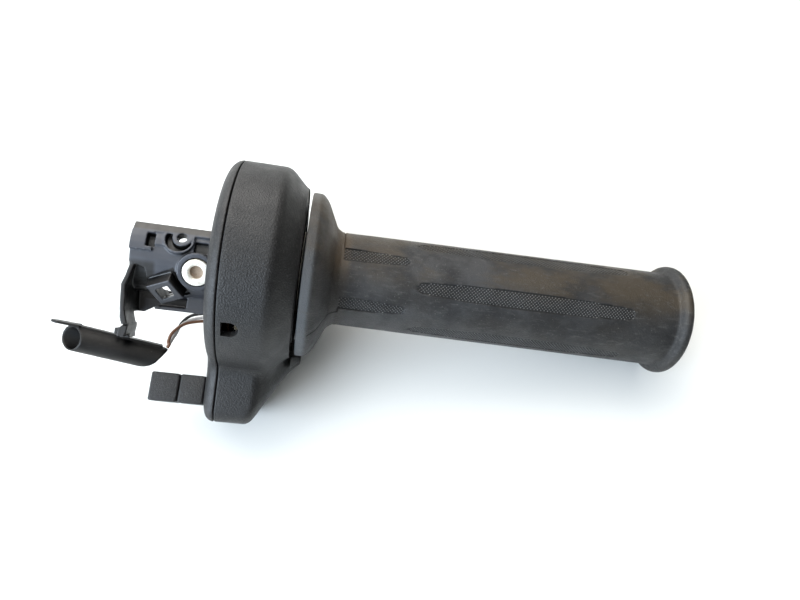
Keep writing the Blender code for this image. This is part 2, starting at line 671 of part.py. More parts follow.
def connector_clip():
    """Leg below the wing, with the two jaws that hold the heater connector's rail."""
    leg = [(-67.6, -23.7), (-69.4, -23.8), (-70.4, -25.0), (-70.6, -27.4), (-68.4, -27.4), (-67.8, -25.6)]
    clip = plate("connector_clip", [leg], 1.0, 12.0, BRACKET)
    join(clip, box("inner_jaw", (-71.3, -68.2), (-28.2, -25.6), (0.0, 6.5)))
    join(clip, box("outer_jaw", (-73.6, -72.2), (-27.6, -25.5), (0.5, 5.0)))
    join(clip, box("jaw_bridge", (-73.3, -70.0), (-26.9, -26.0), (0.7, 2.2)))


def heater_connector():
    """Round connector with an oblique mouth and a latch tongue on its upper side."""
    length = (HEATER_TAIL - HEATER_MOUTH).length
    r = HEATER_R
    profile = [(length, 0), (length, 3.4), (length - 0.8, r - 0.3), (length - 1.8, r),
               (-4.0, r), (-4.0, HEATER_BORE_R), (CARRIER_X[1] + GAP, HEATER_BORE_R),
               (CARRIER_X[1] + GAP, 0)]
    body = turned("heater_connector", profile, TUBE_LOOK, plug, steps=SMALL_STEPS)
    mouth = Matrix.Translation((1.6, 0, 0)) @ Matrix.Rotation(radians(40), 4, "Y")
    cut(body, block("mouth_cut", (20, 20, 30), mouth @ Matrix.Translation((-10, 0, 0)), None, plug))
    corner = (length - TAIL_CUT - 2.2 * tan(TAIL_SLANT), -2.2)
    for angle, (x, y) in ((-TAIL_SLANT, (length - TAIL_CUT, 0)), (radians(-63), corner)):
        away = Matrix.Translation((x, y, 0)) @ Matrix.Rotation(angle, 4, "Z")
        cut(body, block("tail_cut", (20, 30, 20), away @ Matrix.Translation((10, 0, 0)), None, plug))
    tongue = [(-5.7, 0), (-5.1, 1.0), (-3.8, 1.9), (3.4, 2.2), (3.4, -2.2), (-3.8, -1.9), (-5.1, -1.0)]
    upper = Matrix.Translation((0, r + 0.2, 0)) @ Matrix.Rotation(radians(-90), 4, "X")
    flat = upper @ Matrix.Rotation(radians(-3), 4, "Y")
    join(body, plate("tongue", [tongue], -0.45, 0.45, None, plug, flat))
    join(body, box("top_rail", (2.6, length - TAIL_CUT), (r - 0.45, r + 0.55), (-1.7, 1.7), None, plug))
    disc("contact_carrier", *CARRIER_X, HEATER_BORE_R - GAP, BUSH_LOOK, plug, steps=20)
    for k, (y, z) in enumerate(((1.1, 0.0), (-1.1, 0.0))):
        placing = Matrix.Translation((0, y, z))
        disc(f"heater_pin_{k + 1}", 5.4, CARRIER_X[0] - GAP, 0.5, TIN, plug, placing, 10)


def sensor_connector():
    """Rectangular socket on the cover's lobe: base, open shroud and four blades."""
    side = (-SENSOR_HALF_Y, SENSOR_HALF_Y)
    depth = (-SENSOR_HALF_Z, SENSOR_HALF_Z)
    box("sensor_connector_base", SENSOR_BASE_X, side, depth, HOUSING, socket, 0.7)
    shroud = box("sensor_connector_shroud", SENSOR_SHROUD_X, side, depth, HOUSING, socket, 0.7)
    inset = 1.4
    floor_x = SENSOR_SHROUD_X[1] - 1.2
    room = [(low + inset, high - inset) for low, high in (side, depth)]
    cut(shroud, box("shroud_hollow", (-70, floor_x), *room, None, socket))
    for k in range(4):
        z = (k - 1.5) * 1.6
        box(f"sensor_terminal_{k + 1}", (SENSOR_SHROUD_X[0] + 3.2, floor_x - GAP), (-0.8, 0.8),
            (z - 0.3, z + 0.3), TIN, socket)


def leads():
    """Heater leads, held between the grommet in the cover and the heater connector's tail."""
    exit_x = -44.8
    grommet_y, grommet_z = -19.6, -7.0
    rod("lead_grommet", exit_x + GAP, grommet_y, grommet_z, COVER_X - GAP, 2.6, RUBBER)
    length = (HEATER_TAIL - HEATER_MOUTH).length
    tip = Vector((length - 0.9, HEATER_R + 0.2, 0.0))
    to_grip = Matrix.Translation(HEATER_MOUTH) @ along
    routes = {
        "brown_lead": (BROWN_WIRE, -1.4, 1.25, [(-48.4, -21.1, -6.2), (-53.5, -22.6, -4.6),
                       (-56.8, -25.8, -3.0), (-57.7, -29.0, -2.3)]),
        "white_lead": (WHITE_WIRE, 0.0, 0.0, [(-47.8, -19.7, -7.0), (-52.6, -21.4, -6.4),
                       (-55.4, -24.2, -5.2), (-56.8, -28.0, -4.2)]),
        "black_lead": (BLACK_WIRE, 1.4, -1.25, [(-47.6, -18.3, -7.8), (-52.2, -19.6, -7.9),
                       (-55.0, -22.4, -7.2), (-56.4, -26.5, -6.2)]),
    }
    for name, (look, start_y, end_z, middle) in routes.items():
        begin = Vector((exit_x, grommet_y + start_y, grommet_z))
        straight = begin + Vector((-1.0, 0.0, 0.0))
        end = tip + Vector((0.0, 0.0, end_z))
        finish = to_grip @ end
        approach = to_grip @ (end + Vector((0.3, 1.4, 0.0)))
        points = [begin, straight] + [Vector(place) for place in middle] + [approach, finish]
        wire(name, smooth_route(points), LEAD_R, look)


def heater_loop():
    """Slack turn of flat heater lead inside the housing, which winds up with the tube."""
    turns, per_turn = 1.2, 18
    count = int(turns * per_turn)
    loop = [
        (-37.0 + 0.8 * k / count, *on_ring(radians(60) + 2 * pi * k / per_turn, 22.6 + 2.6 * k / count))
        for k in range(count + 1)
    ]
    wire("heater_loop", loop, 0.5, BROWN_WIRE)


def rest_on_floor():
    """Turn the grip frame so that the rim, the lobe's corner and the bead share one plane."""
    pitch = atan((RIM_R - BEAD_R) / (BEAD_X - RIM_SHOULDER_X))
    corner_y = LOBE_REACH - LOBE_CORNER
    corner_z = LOBE_BOTTOM - LOBE_CORNER
    drop = RIM_R + (RIM_SHOULDER_X - LOBE_SHOULDER_X) * (RIM_R - BEAD_R) / (BEAD_X - RIM_SHOULDER_X)
    roll = atan2(corner_y, corner_z) - acos((drop - LOBE_CORNER) / hypot(corner_y, corner_z))
    resting.matrix_local = Matrix.Rotation(pitch, 4, "Y") @ Matrix.Rotation(roll, 4, "X")


def centre_on_origin():
    """Move the assembly so that its box stands on z = 0, centred on the origin."""
    bpy.context.view_layer.update()
    depsgraph = bpy.context.evaluated_depsgraph_get()
    low = Vector((1.0, 1.0, 1.0))
    high = -low
    for obj in PARTS.objects:
        if obj.type == "EMPTY":
            continue
        shaped = obj.evaluated_get(depsgraph)
        mesh = shaped.to_mesh()
        for vertex in mesh.vertices:
            place = shaped.matrix_world @ vertex.co
            low = Vector(map(min, low, place))
            high = Vector(map(max, high, place))
        shaped.to_mesh_clear()
    resting.location -= Vector(((low.x + high.x) / 2, (low.y + high.y) / 2, low.z))


resting = empty("resting_pose")
rest_on_floor()
twist = empty("twist_axis", resting)
rotor = empty("rotor_axis", resting, Matrix.Translation((0, PINION_Y, PINION_Z)))
along = (HEATER_TAIL - HEATER_MOUTH).to_track_quat("X", "Z").to_matrix().to_4x4()
socket = empty("socket_axis", resting, Matrix.Translation((0, *SENSOR_MIDDLE))
               @ Matrix.Rotation(SENSOR_ROLL, 4, "X"))
plug = empty("plug_axis", resting, Matrix.Translation(HEATER_MOUTH) @ along)

housing_shell()
housing_cover()
housing_fasteners()
bearings()
throttle_tube()
heater_sleeve()
grip_rubber()
drive_gear()
sensor_rotor()
sensor_electronics()
return_spring()
travel_stop()
switch_bracket()
bracket_hardware()
connector_clip()
heater_connector()
sensor_connector()
leads()
heater_loop()
centre_on_origin()
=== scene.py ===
"""Looks of the heated twist throttle grip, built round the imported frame.

Shapes are laid out in the grip's own frame, in millimetres: X runs along the handlebar
toward the free end, with x = 0 where the rubber barrel starts, and the sensor lobe of the
housing points to -Y. Angles round the bar are counted from +Z toward -Y. The frame's joints
say where that grip frame lies in the world, and every mesh is stored in world metres.
"""

import json
from math import atan2, cos, pi, radians, sin, sqrt, tan

import bmesh
import bpy
import numpy as np
from mathutils import Matrix, Vector


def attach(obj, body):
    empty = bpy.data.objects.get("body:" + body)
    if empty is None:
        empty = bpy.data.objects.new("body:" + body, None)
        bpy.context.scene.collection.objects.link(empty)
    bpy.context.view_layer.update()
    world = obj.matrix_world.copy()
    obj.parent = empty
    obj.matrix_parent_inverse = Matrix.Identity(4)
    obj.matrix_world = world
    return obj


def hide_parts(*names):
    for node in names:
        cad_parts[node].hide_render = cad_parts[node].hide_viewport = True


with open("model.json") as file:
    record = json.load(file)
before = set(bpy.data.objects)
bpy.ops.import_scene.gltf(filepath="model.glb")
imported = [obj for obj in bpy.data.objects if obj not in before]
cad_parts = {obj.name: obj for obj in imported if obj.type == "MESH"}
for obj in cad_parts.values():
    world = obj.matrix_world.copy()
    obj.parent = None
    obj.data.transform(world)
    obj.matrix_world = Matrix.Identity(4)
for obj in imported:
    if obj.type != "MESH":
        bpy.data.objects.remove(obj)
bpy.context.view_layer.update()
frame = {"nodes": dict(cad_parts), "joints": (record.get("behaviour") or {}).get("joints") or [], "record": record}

MM = 0.001
GAP = 0.3
FINE = 128

# Handlebar, throttle tube and bearings
BORE_R = 11.45
TUBE_R = 12.9
TUBE_X = (-41.0, 119.0)
BUSH_R = 14.8
RIDE_R = TUBE_R + GAP

# Rubber grip
GRIP_ROOT_R = 16.4
GRIP_MID_R = 17.0
GRIP_TIP_R = 17.55
FLANGE_R = 28.6
FLANGE_X = (-14.4, -11.5)
CREASE_X = 117.8
BEAD_R = 20.2
BEAD_X = 120.9
GRIP_END_X = 122.3
SLEEVE_X = (3.0, 106.0)
SLEEVE_R = 14.0

# Knurled strips: six long and six short ones by turns, sunk into the barrel
KNURL_PITCH = 1.2
KNURL_DEPTH = 0.42
STRIP_STEP = KNURL_PITCH / 4
LONG_STRIP_X = (24.0, 101.2)
LONG_STRIP_HALF = 3.0
LONG_STRIP_END = 1.3
LONG_STRIP_LINES = 12
SHORT_STRIP_X = (-1.8, 20.6)
SHORT_STRIP_HALF = 2.4
SHORT_STRIP_LINES = 10
STRIP_COUNT = 6
SEAM_DEPTH = 0.45
SEAM_ANGLE = radians(44.5)

# Housing: a round rim with a lobe, split at one plane
RIM_R = 35.9
RIM_SHOULDER_X = -23.0
SPLIT_X = -37.8
LOBE_TOP = 11.5
LOBE_BOTTOM = 16.0
LOBE_REACH = 53.2
LOBE_CORNER = 6.0
LOBE_FILLET = 6.0
LOBE_SHOULDER_X = -27.0
WALL = 2.6
END_WALL_X = (-21.0, -16.5)
NECK_R = 24.5
NECK_X = -15.4
FLANGE_ROOM_R = 29.6
SHELL_TOE_X = -12.2
COVER_X = -42.2
DOME_INSET = 5.6
NOTCH_ANGLE = radians(34.0)
NOTCH_R = 2.6

# Sensor gearing and the switch bracket's own places
PINION_Y = -38.94
PINION_Z = -2.25
FOOT_X = -44.2
EAR_SCREW_R = 20.6
BRACKET_SCREW_ANGLES = (radians(-105), radians(139))
PROUD_R = 15.0
CLAMP_X = -48.1
CLAMP_ANGLE = radians(16.3)
POST_X = -57.6
POST_ANGLE = radians(46.0)
POST_TURN = radians(29.0)

# Connectors
SENSOR_BASE_X = (-50.7, -42.5)
SENSOR_SHROUD_X = (-60.2, -50.95)
SENSOR_MIDDLE = (-44.2, 1.5)
SENSOR_HALF_Y = 4.8
SENSOR_HALF_Z = 4.5
SENSOR_ROLL = radians(-13.0)
HEATER_MOUTH = Vector((-89.0, -30.4, 3.0))
HEATER_TAIL = Vector((-57.9, -35.65, -3.45))
TAIL_SLANT = radians(30.0)
TAIL_CUT = 2.5
HEATER_R = 4.2
HEATER_BORE_R = 3.6
CARRIER_X = (9.0, 20.7)
LEAD_R = 0.55
LEAD_EXIT = (-19.6, -7.0)

# Camera, in the grip frame
CAMERA_PLACE = Vector((-8.95, -4.34, 214.0))
CAMERA_TURNS = (radians(-7.83), radians(-0.14), radians(7.107))
CAMERA_LENS = 27.0

# Strength of the room's own light, from its -X side to its +X side
ROOM_LIGHT = (0.70, 0.03)


def grip_frame():
    """World placing of the grip frame, from the axes of the two joints."""
    joints = {joint["name"]: joint for joint in frame["joints"]}
    origin = Vector(joints["throttle_twist"]["pos_m"])
    along = Vector(joints["throttle_twist"]["axis"]).normalized()
    offset = Vector(joints["sensor_spin"]["pos_m"]) - origin
    offset -= along * offset.dot(along)
    across = along.cross(offset)
    y_axis = (offset * PINION_Y - across * PINION_Z).normalized()
    z_axis = along.cross(y_axis)
    turn = Matrix((along, y_axis, z_axis)).transposed().to_4x4()
    return Matrix.Translation(origin) @ turn


GRIP = grip_frame()
TO_WORLD = GRIP @ Matrix.Scale(MM, 4)


def radial(x, angle, radius=0.0):
    """Placing whose Z points away from the bar at this angle, starting at this radius."""
    return Matrix.Rotation(angle, 4, "X") @ Matrix.Translation((x, 0.0, radius))


def on_ring(angle, radius):
    """(y, z) of a point at this angle and radius."""
    return (-radius * sin(angle), radius * cos(angle))


along_plug = (HEATER_TAIL - HEATER_MOUTH).to_track_quat("X", "Z").to_matrix().to_4x4()
PLUG = Matrix.Translation(HEATER_MOUTH) @ along_plug
PLUG_LENGTH = (HEATER_TAIL - HEATER_MOUTH).length
POST = radial(POST_X, POST_ANGLE) @ Matrix.Rotation(POST_TURN, 4, "Z")
SOCKET = Matrix.Translation((0, *SENSOR_MIDDLE)) @ Matrix.Rotation(SENSOR_ROLL, 4, "X")


# ---------------------------------------------------------------- materials


class Look:
    """A material's node tree, with one short call for each kind of node it uses."""

    def __init__(self, name, roughness, metallic=0.0):
        self.material = bpy.data.materials.new(name)
        self.material.use_nodes = True
        self.tree = self.material.node_tree
        self.shader = self.tree.nodes["Principled BSDF"]
        self.shader.inputs["Metallic"].default_value = metallic
        self.shader.inputs["Roughness"].default_value = roughness
        source = self.tree.nodes.new("ShaderNodeTexCoord").outputs["Object"]
        mapping = self.tree.nodes.new("ShaderNodeMapping")
        mapping.vector_type = "TEXTURE"
        mapping.inputs["Location"].default_value = GRIP.translation
        mapping.inputs["Rotation"].default_value = GRIP.to_euler()
        mapping.inputs["Scale"].default_value = (MM, MM, MM)
        self.tree.links.new(source, mapping.inputs["Vector"])
        self.place = mapping.outputs["Vector"]

    def put(self, socket, value):
        if isinstance(value, bpy.types.NodeSocket):
            self.tree.links.new(value, socket)
        else:
            socket.default_value = value

    def math(self, operation, a, b=0.0):
        node = self.tree.nodes.new("ShaderNodeMath")
        node.operation = operation
        self.put(node.inputs[0], a)
        self.put(node.inputs[1], b)
        return node.outputs[0]

    def squeezed(self, stretch):
        """The place in millimetres, with each axis scaled."""
        mapping = self.tree.nodes.new("ShaderNodeMapping")
        self.put(mapping.inputs["Vector"], self.place)
        mapping.inputs["Scale"].default_value = stretch
        return mapping.outputs["Vector"]

    def noise(self, size, detail=3.0, rough=0.55, stretch=None):
        """Noise whose blotches are about this many millimetres across."""
        node = self.tree.nodes.new("ShaderNodeTexNoise")
        self.put(node.inputs["Vector"], self.squeezed(stretch) if stretch else self.place)
        node.inputs["Scale"].default_value = 1.0 / size
        node.inputs["Detail"].default_value = detail
        node.inputs["Roughness"].default_value = rough
        return node.outputs["Fac"]

    def pebbles(self, size):
        """Cell pattern whose cells are about this many millimetres across."""
        node = self.tree.nodes.new("ShaderNodeTexVoronoi")
        node.feature = "SMOOTH_F1"
        self.put(node.inputs["Vector"], self.place)
        node.inputs["Scale"].default_value = 1.0 / size
        node.inputs["Smoothness"].default_value = 0.6
        return node.outputs["Distance"]

    def span(self, value, low, high, out_low=0.0, out_high=1.0):
        """Value, with low to high stretched over the output range and clamped to it."""
        node = self.tree.nodes.new("ShaderNodeMapRange")
        node.interpolation_type = "SMOOTHSTEP"
        for socket, number in zip(node.inputs, (value, low, high, out_low, out_high)):
            self.put(socket, number)
        return node.outputs["Result"]

    def mix(self, share, a, b):
        node = self.tree.nodes.new("ShaderNodeMix")
        node.data_type = "RGBA"
        self.put(node.inputs["Factor"], share)
        for socket, colour in ((node.inputs[6], a), (node.inputs[7], b)):
            self.put(socket, (*colour, 1.0) if isinstance(colour, tuple) else colour)
        return node.outputs[2]

    def worn_edges(self, start=0.53, end=0.62):
        """1 on sharp outer edges and 0 on flat faces."""
        geometry = self.tree.nodes.new("ShaderNodeNewGeometry")
        return self.span(geometry.outputs["Pointiness"], start, end)

    def cavity(self, reach, closed=0.42, clear=0.88):
        """1 in the open and 0 deep in a hollow that is narrower than this reach."""
        node = self.tree.nodes.new("ShaderNodeAmbientOcclusion")
        node.inputs["Distance"].default_value = reach * MM
        return self.span(node.outputs["AO"], closed, clear)

    def beside(self, placing, reach, top):
        """1 within this reach of a square post's own axis, below its top face."""
        mapping = self.tree.nodes.new("ShaderNodeMapping")
        mapping.vector_type = "TEXTURE"
        mapping.inputs["Location"].default_value = placing.translation
        mapping.inputs["Rotation"].default_value = placing.to_euler()
        self.put(mapping.inputs["Vector"], self.place)
        node = self.tree.nodes.new("ShaderNodeSeparateXYZ")
        self.put(node.inputs[0], mapping.outputs["Vector"])
        aside = self.math("MAXIMUM", *(self.math("ABSOLUTE", node.outputs[name]) for name in "XY"))
        near = self.span(aside, reach, reach - 0.5)
        return self.math("MULTIPLY", near, self.span(node.outputs["Z"], top, top - 0.25))

    def axis(self, name):
        node = self.tree.nodes.new("ShaderNodeSeparateXYZ")
        self.put(node.inputs[0], self.place)
        return node.outputs[name]

    def from_bar(self):
        """Distance from the bar's axis."""
        y, z = self.axis("Y"), self.axis("Z")
        return self.math("SQRT", self.math("ADD", self.math("MULTIPLY", y, y), self.math("MULTIPLY", z, z)))

    def finish(self, colour, roughness=None, bumps=()):
        """Colour, roughness and a chain of bumps, each (height, depth in millimetres)."""
        self.put(self.shader.inputs["Base Color"], colour)
        if roughness is not None:
            self.put(self.shader.inputs["Roughness"], roughness)
        normal = None
        for height, depth in bumps:
            node = self.tree.nodes.new("ShaderNodeBump")
            node.inputs["Distance"].default_value = depth * MM
            self.put(node.inputs["Height"], height)
            if normal:
                self.put(node.inputs["Normal"], normal)
            normal = node.outputs["Normal"]
        if normal:
            self.put(self.shader.inputs["Normal"], normal)
        return self.material


def housing_plastic():
    """Spark-eroded black moulding: pebbled grain, a little dust, paler corners and painted shade on the cone
    toward the grip.
    """
    look = Look("housing_plastic", 0.5)
    grain = look.pebbles(0.5)
    blotch = look.noise(11.0, 4.0, 0.6)
    base = look.mix(blotch, (0.010, 0.010, 0.0105), (0.026, 0.025, 0.025))
    hollows = look.mix(look.span(grain, 0.15, 0.6, 0.0, 0.6), base, (0.004, 0.004, 0.004))
    # Painted shade: darker toward +X, on the cone that faces away from the lights, next to the flange.
    painted_shade_cone = look.mix(look.span(look.axis("X"), -31.0, -20.0, 0.0, 0.75), hollows, (0.0055, 0.005, 0.0045))
    dusty = look.mix(look.span(look.noise(0.5, 2.0), 0.58, 0.72, 0.0, 0.45), painted_shade_cone, (0.075, 0.073, 0.070))
    colour = look.mix(look.math("MULTIPLY", look.worn_edges(), 0.5), dusty, (0.085, 0.082, 0.080))
    roughness = look.span(look.noise(6.0, 3.0), 0.3, 0.7, 0.42, 0.56)
    return look.finish(colour, roughness, [(grain, 0.10), (look.noise(0.35, 3.0, 0.7), 0.09)])


def bracket_plastic():
    """Smooth moulding with painted light: a cool bluish tint on its faces and a warm tint on its top strip; darker
    toward -Y, with painted shade, nearly black, in its hollows, its channel and beside the post.
    """
    look = Look("bracket_plastic", 0.4)
    x, y = look.axis("X"), look.axis("Y")
    flow = look.noise(5.0, 3.0, 0.5, (0.35, 1.0, 1.0))
    # Painted cool light: the faces carry a bluish tint of the fill light.
    face = look.mix(flow, (0.034, 0.037, 0.046), (0.058, 0.062, 0.074))
    # Painted warm light: the top strip is tinted brown, as lit from above.
    strip = look.mix(look.span(y, 7.3, 8.2), face, (0.034, 0.030, 0.026))
    # Darker toward -Y.
    below = look.mix(look.span(y, -4.0, -12.0, 0.0, 0.55), strip, (0.014, 0.014, 0.016))
    # Painted shade: near black inside the hollow, at the wing's end and on the post's side walls.
    inside = look.math("MULTIPLY", look.span(x, -60.5, -62.0), look.span(look.from_bar(), 15.2, 14.6))
    dark = look.math("MULTIPLY", look.math("MAXIMUM", inside, look.span(x, -66.0, -67.5)),
                     look.span(y, -1.5, -3.5))
    dark = look.math("MAXIMUM", dark, look.beside(POST, 5.8, 16.4))
    shaded = look.mix(dark, below, (0.009, 0.008, 0.0075))
    # Painted shade: near black in the channel by the bar, where ambient occlusion finds a narrow hollow.
    deep = look.math("MULTIPLY", look.span(look.from_bar(), 12.8, 13.7), look.cavity(3.5))
    sunk = look.mix(deep, (0.0015, 0.0015, 0.0015), shaded)
    dusty = look.mix(look.span(look.noise(0.7, 3.0), 0.62, 0.76, 0.0, 0.3), sunk, (0.07, 0.065, 0.06))
    colour = look.mix(look.math("MULTIPLY", look.worn_edges(), 0.45), dusty, (0.10, 0.098, 0.095))
    roughness = look.span(look.noise(3.0, 4.0), 0.3, 0.7, 0.34, 0.50)
    return look.finish(colour, roughness, [(look.noise(0.3, 2.0), 0.012), (look.noise(2.5, 2.0), 0.03)])


def grip_rubber():
    """Worn black rubber: brown on its upper side, partly dust and partly painted warm light; painted shade toward
    the free end, in the knurl valleys and at the strips' edges; peaks paler from wear and painted highlight; dust
    with a painted warm highlight on the upper neck, and a painted cool highlight on the flange's lower rim.
    """
    look = Look("grip_rubber", 0.6)
    x = look.axis("X")
    tread = look.tree.nodes.new("ShaderNodeAttribute")
    tread.attribute_name = "tread"
    tread = tread.outputs["Fac"]
    cloud = look.span(look.noise(13.0, 5.0, 0.6), 0.36, 0.64)
    base = look.mix(cloud, (0.0095, 0.0095, 0.010), (0.036, 0.036, 0.037))
    patches = look.span(look.noise(15.0, 5.0, 0.65, (0.5, 1.0, 1.0)), 0.41, 0.60)
    upper = look.span(look.axis("Y"), -3.0, 8.0, 0.12, 0.85)
    # Painted shade: darker toward the free end.
    painted_shade_tip = look.mix(look.span(x, 45.0, 112.0, 0.0, 0.65), base, (0.0085, 0.0078, 0.0070))
    # Brown on the upper side: partly dust, partly painted warm light from above.
    brown = look.mix(look.math("MULTIPLY", patches, upper), painted_shade_tip, (0.046, 0.033, 0.018))
    # Upper neck: partly dust, partly a painted warm highlight of the light from above.
    neck = look.math("MULTIPLY", look.span(x, -12.5, -3.0), look.span(x, 1.5, -1.0))
    neck_dust_and_warm_highlight = look.mix(look.math("MULTIPLY", neck, upper), brown, (0.078, 0.055, 0.033))
    # Painted cool highlight: the flange's outer rim paler and bluish toward its lower side, where the fill light
    # falls.
    lower = look.span(look.axis("Y"), 16.0, -6.0, 0.15, 0.8)
    painted_cool_highlight = look.math("MULTIPLY", look.span(x, -10.4, -12.6), lower)
    rim = look.mix(painted_cool_highlight, neck_dust_and_warm_highlight, (0.100, 0.108, 0.116))
    scuffs = look.span(look.noise(1.2, 5.0, 0.7, (0.3, 1.0, 1.0)), 0.52, 0.72, 0.0, 0.55)
    scuffed = look.mix(scuffs, rim, (0.070, 0.067, 0.063))
    specks = look.span(look.noise(0.55, 2.0), 0.64, 0.76, 0.0, 0.6)
    dusty = look.mix(specks, scuffed, (0.13, 0.125, 0.115))
    # Painted shade: near black in the knurl valleys and at the strips' sunk edges.
    sunk = look.mix(look.span(tread, 0.1, -0.7, 0.0, 0.9), dusty, (0.002, 0.002, 0.002))
    # Peaks paler: partly wear, partly a painted highlight.
    wear_and_highlight_peaks = look.mix(look.span(tread, 0.1, 0.75, 0.0, 0.95), sunk, (0.17, 0.168, 0.160))
    colour = look.mix(look.math("MULTIPLY", look.worn_edges(0.56, 0.64), 0.3), wear_and_highlight_peaks, (0.10, 0.095, 0.09))
    roughness = look.span(look.noise(8.0, 4.0), 0.3, 0.7, 0.46, 0.66)
    return look.finish(colour, roughness, [(look.noise(0.6, 4.0, 0.7), 0.22), (look.noise(3.0, 3.0), 0.08)])


def tube_plastic():
    """Grey-brown glass-filled plastic of the tube and the heater connector."""
    look = Look("tube_plastic", 0.5)
    look.shader.inputs["Specular IOR Level"].default_value = 0.3
    cloud = look.noise(6.0, 3.0)
    base = look.mix(cloud, (0.005, 0.0042, 0.0036), (0.010, 0.0085, 0.0073))
    fibres = look.span(look.noise(0.4, 3.0, 0.6, (0.2, 1.0, 1.0)), 0.55, 0.72, 0.0, 0.4)
    streaked = look.mix(fibres, base, (0.028, 0.024, 0.020))
    tail = look.mix(look.span(look.axis("X"), -74.0, -62.0, 0.0, 0.75), streaked, (0.007, 0.006, 0.005))
    # Painted shade: near black where ambient occlusion finds a hollow, deep in the connector's mouth.
    painted_shade_inside = look.mix(look.cavity(8.0, 0.60, 0.96), (0.002, 0.002, 0.002), tail)
    colour = look.mix(look.math("MULTIPLY", look.worn_edges(0.56, 0.66), 0.3), painted_shade_inside, (0.10, 0.094, 0.088))
    roughness = look.span(cloud, 0.3, 0.7, 0.40, 0.56)
    return look.finish(colour, roughness, [(look.noise(0.3, 3.0), 0.02)])


def bearing_plastic():
    """Ivory acetal with faint turning rings and grease."""
    look = Look("bearing_plastic", 0.35)
    rings = look.noise(0.5, 2.0, 0.5, (1.0, 0.1, 0.1))
    base = look.mix(look.noise(7.0, 3.0), (0.56, 0.53, 0.46), (0.68, 0.66, 0.60))
    colour = look.mix(look.span(look.noise(2.5, 4.0), 0.55, 0.75, 0.0, 0.5), base, (0.30, 0.26, 0.18))
    return look.finish(colour, look.span(rings, 0.3, 0.7, 0.28, 0.42), [(rings, 0.01)])


def zinc_metal():
    """Cast zinc bush with a bright turned face and brown painted shade in its bore."""
    look = Look("zinc_metal", 0.3, 0.35)
    scratches = look.noise(0.35, 4.0, 0.6)
    base = look.mix(look.noise(2.0, 3.0), (0.92, 0.90, 0.82), (0.80, 0.76, 0.66))
    tarnish = look.span(look.noise(1.1, 4.0), 0.52, 0.72, 0.0, 0.35)
    spotted = look.mix(tarnish, base, (0.42, 0.30, 0.18))
    # Painted shade: brown in the bore, strongest toward its bottom.
    bore = look.span(look.from_bar(), 13.4, 14.6, 0.85, 0.0)
    colour = look.mix(bore, spotted, (0.30, 0.20, 0.13))
    return look.finish(colour, look.span(scratches, 0.3, 0.7, 0.24, 0.44), [(scratches, 0.008)])


def spring_steel():
    """Drawn or turned steel with a light zinc coat and small scratches."""
    look = Look("spring_steel", 0.35, 1.0)
    streaks = look.noise(0.6, 4.0, 0.6, (0.3, 1.0, 1.0))
    colour = look.mix(streaks, (0.30, 0.30, 0.31), (0.52, 0.51, 0.50))
    spotted = look.mix(look.span(look.noise(1.3, 3.0), 0.62, 0.76, 0.0, 0.5), colour, (0.20, 0.14, 0.09))
    return look.finish(spotted, look.span(streaks, 0.3, 0.7, 0.26, 0.46), [(streaks, 0.006)])


def gear_plastic():
    """Natural acetal gears with a smear of grease."""
    look = Look("gear_plastic", 0.4)
    base = look.mix(look.noise(5.0, 3.0), (0.62, 0.60, 0.52), (0.74, 0.72, 0.66))
    grease = look.span(look.noise(3.0, 4.0), 0.52, 0.66, 0.0, 0.7)
    colour = look.mix(grease, base, (0.42, 0.34, 0.18))
    return look.finish(colour, look.span(grease, 0.0, 0.7, 0.42, 0.18), [(look.noise(0.6, 3.0), 0.02)])


def heater_foil():
    """Amber film of the heater sleeve, with its resistive track showing through."""
    look = Look("heater_foil", 0.35)
    track = look.tree.nodes.new("ShaderNodeTexWave")
    look.put(track.inputs["Vector"], look.place)
    track.bands_direction = "X"
    track.inputs["Scale"].default_value = 0.12
    track.inputs["Distortion"].default_value = 0.4
    lines = look.span(track.outputs["Fac"], 0.55, 0.65)
    film = look.mix(look.noise(4.0, 3.0), (0.30, 0.13, 0.03), (0.42, 0.21, 0.06))
    colour = look.mix(lines, film, (0.10, 0.07, 0.05))
    return look.finish(colour, look.span(lines, 0.0, 1.0, 0.26, 0.45), [(lines, 0.03)])


def circuit_board():
    """Green solder mask over copper tracks."""
    look = Look("circuit_board", 0.4)
    tracks = look.tree.nodes.new("ShaderNodeTexBrick")
    look.put(tracks.inputs["Vector"], look.squeezed((1.0, 0.35, 0.8)))
    tracks.inputs["Scale"].default_value = 1.0
    lines = look.span(tracks.outputs["Fac"], 0.2, 0.8)
    mask = look.mix(look.noise(3.0, 3.0), (0.015, 0.10, 0.045), (0.025, 0.15, 0.07))
    colour = look.mix(lines, mask, (0.05, 0.24, 0.11))
    return look.finish(colour, look.span(look.noise(1.0, 2.0), 0.3, 0.7, 0.3, 0.45), [(lines, 0.03)])


def tinned_contact():
    """Stamped and tinned brass blade."""
    look = Look("tinned_contact", 0.25, 1.0)
    streaks = look.noise(0.3, 4.0, 0.6, (0.2, 1.0, 1.0))
    colour = look.mix(streaks, (0.62, 0.61, 0.58), (0.80, 0.79, 0.76))
    return look.finish(colour, look.span(streaks, 0.3, 0.7, 0.18, 0.36), [(streaks, 0.005)])


def insulation(name, dark, light):
    """Slightly dusty wire covering."""
    def build():
        look = Look(name, 0.45)
        base = look.mix(look.noise(1.6, 4.0), dark, light)
        dust = look.span(look.noise(0.35, 2.0), 0.60, 0.75, 0.0, 0.4)
        grey = tuple(0.6 * channel + 0.08 for channel in light)
        colour = look.mix(dust, base, grey)
        return look.finish(colour, look.span(look.noise(0.8, 3.0), 0.3, 0.7, 0.36, 0.52),
                           [(look.noise(0.25, 2.0), 0.012)])
    return build


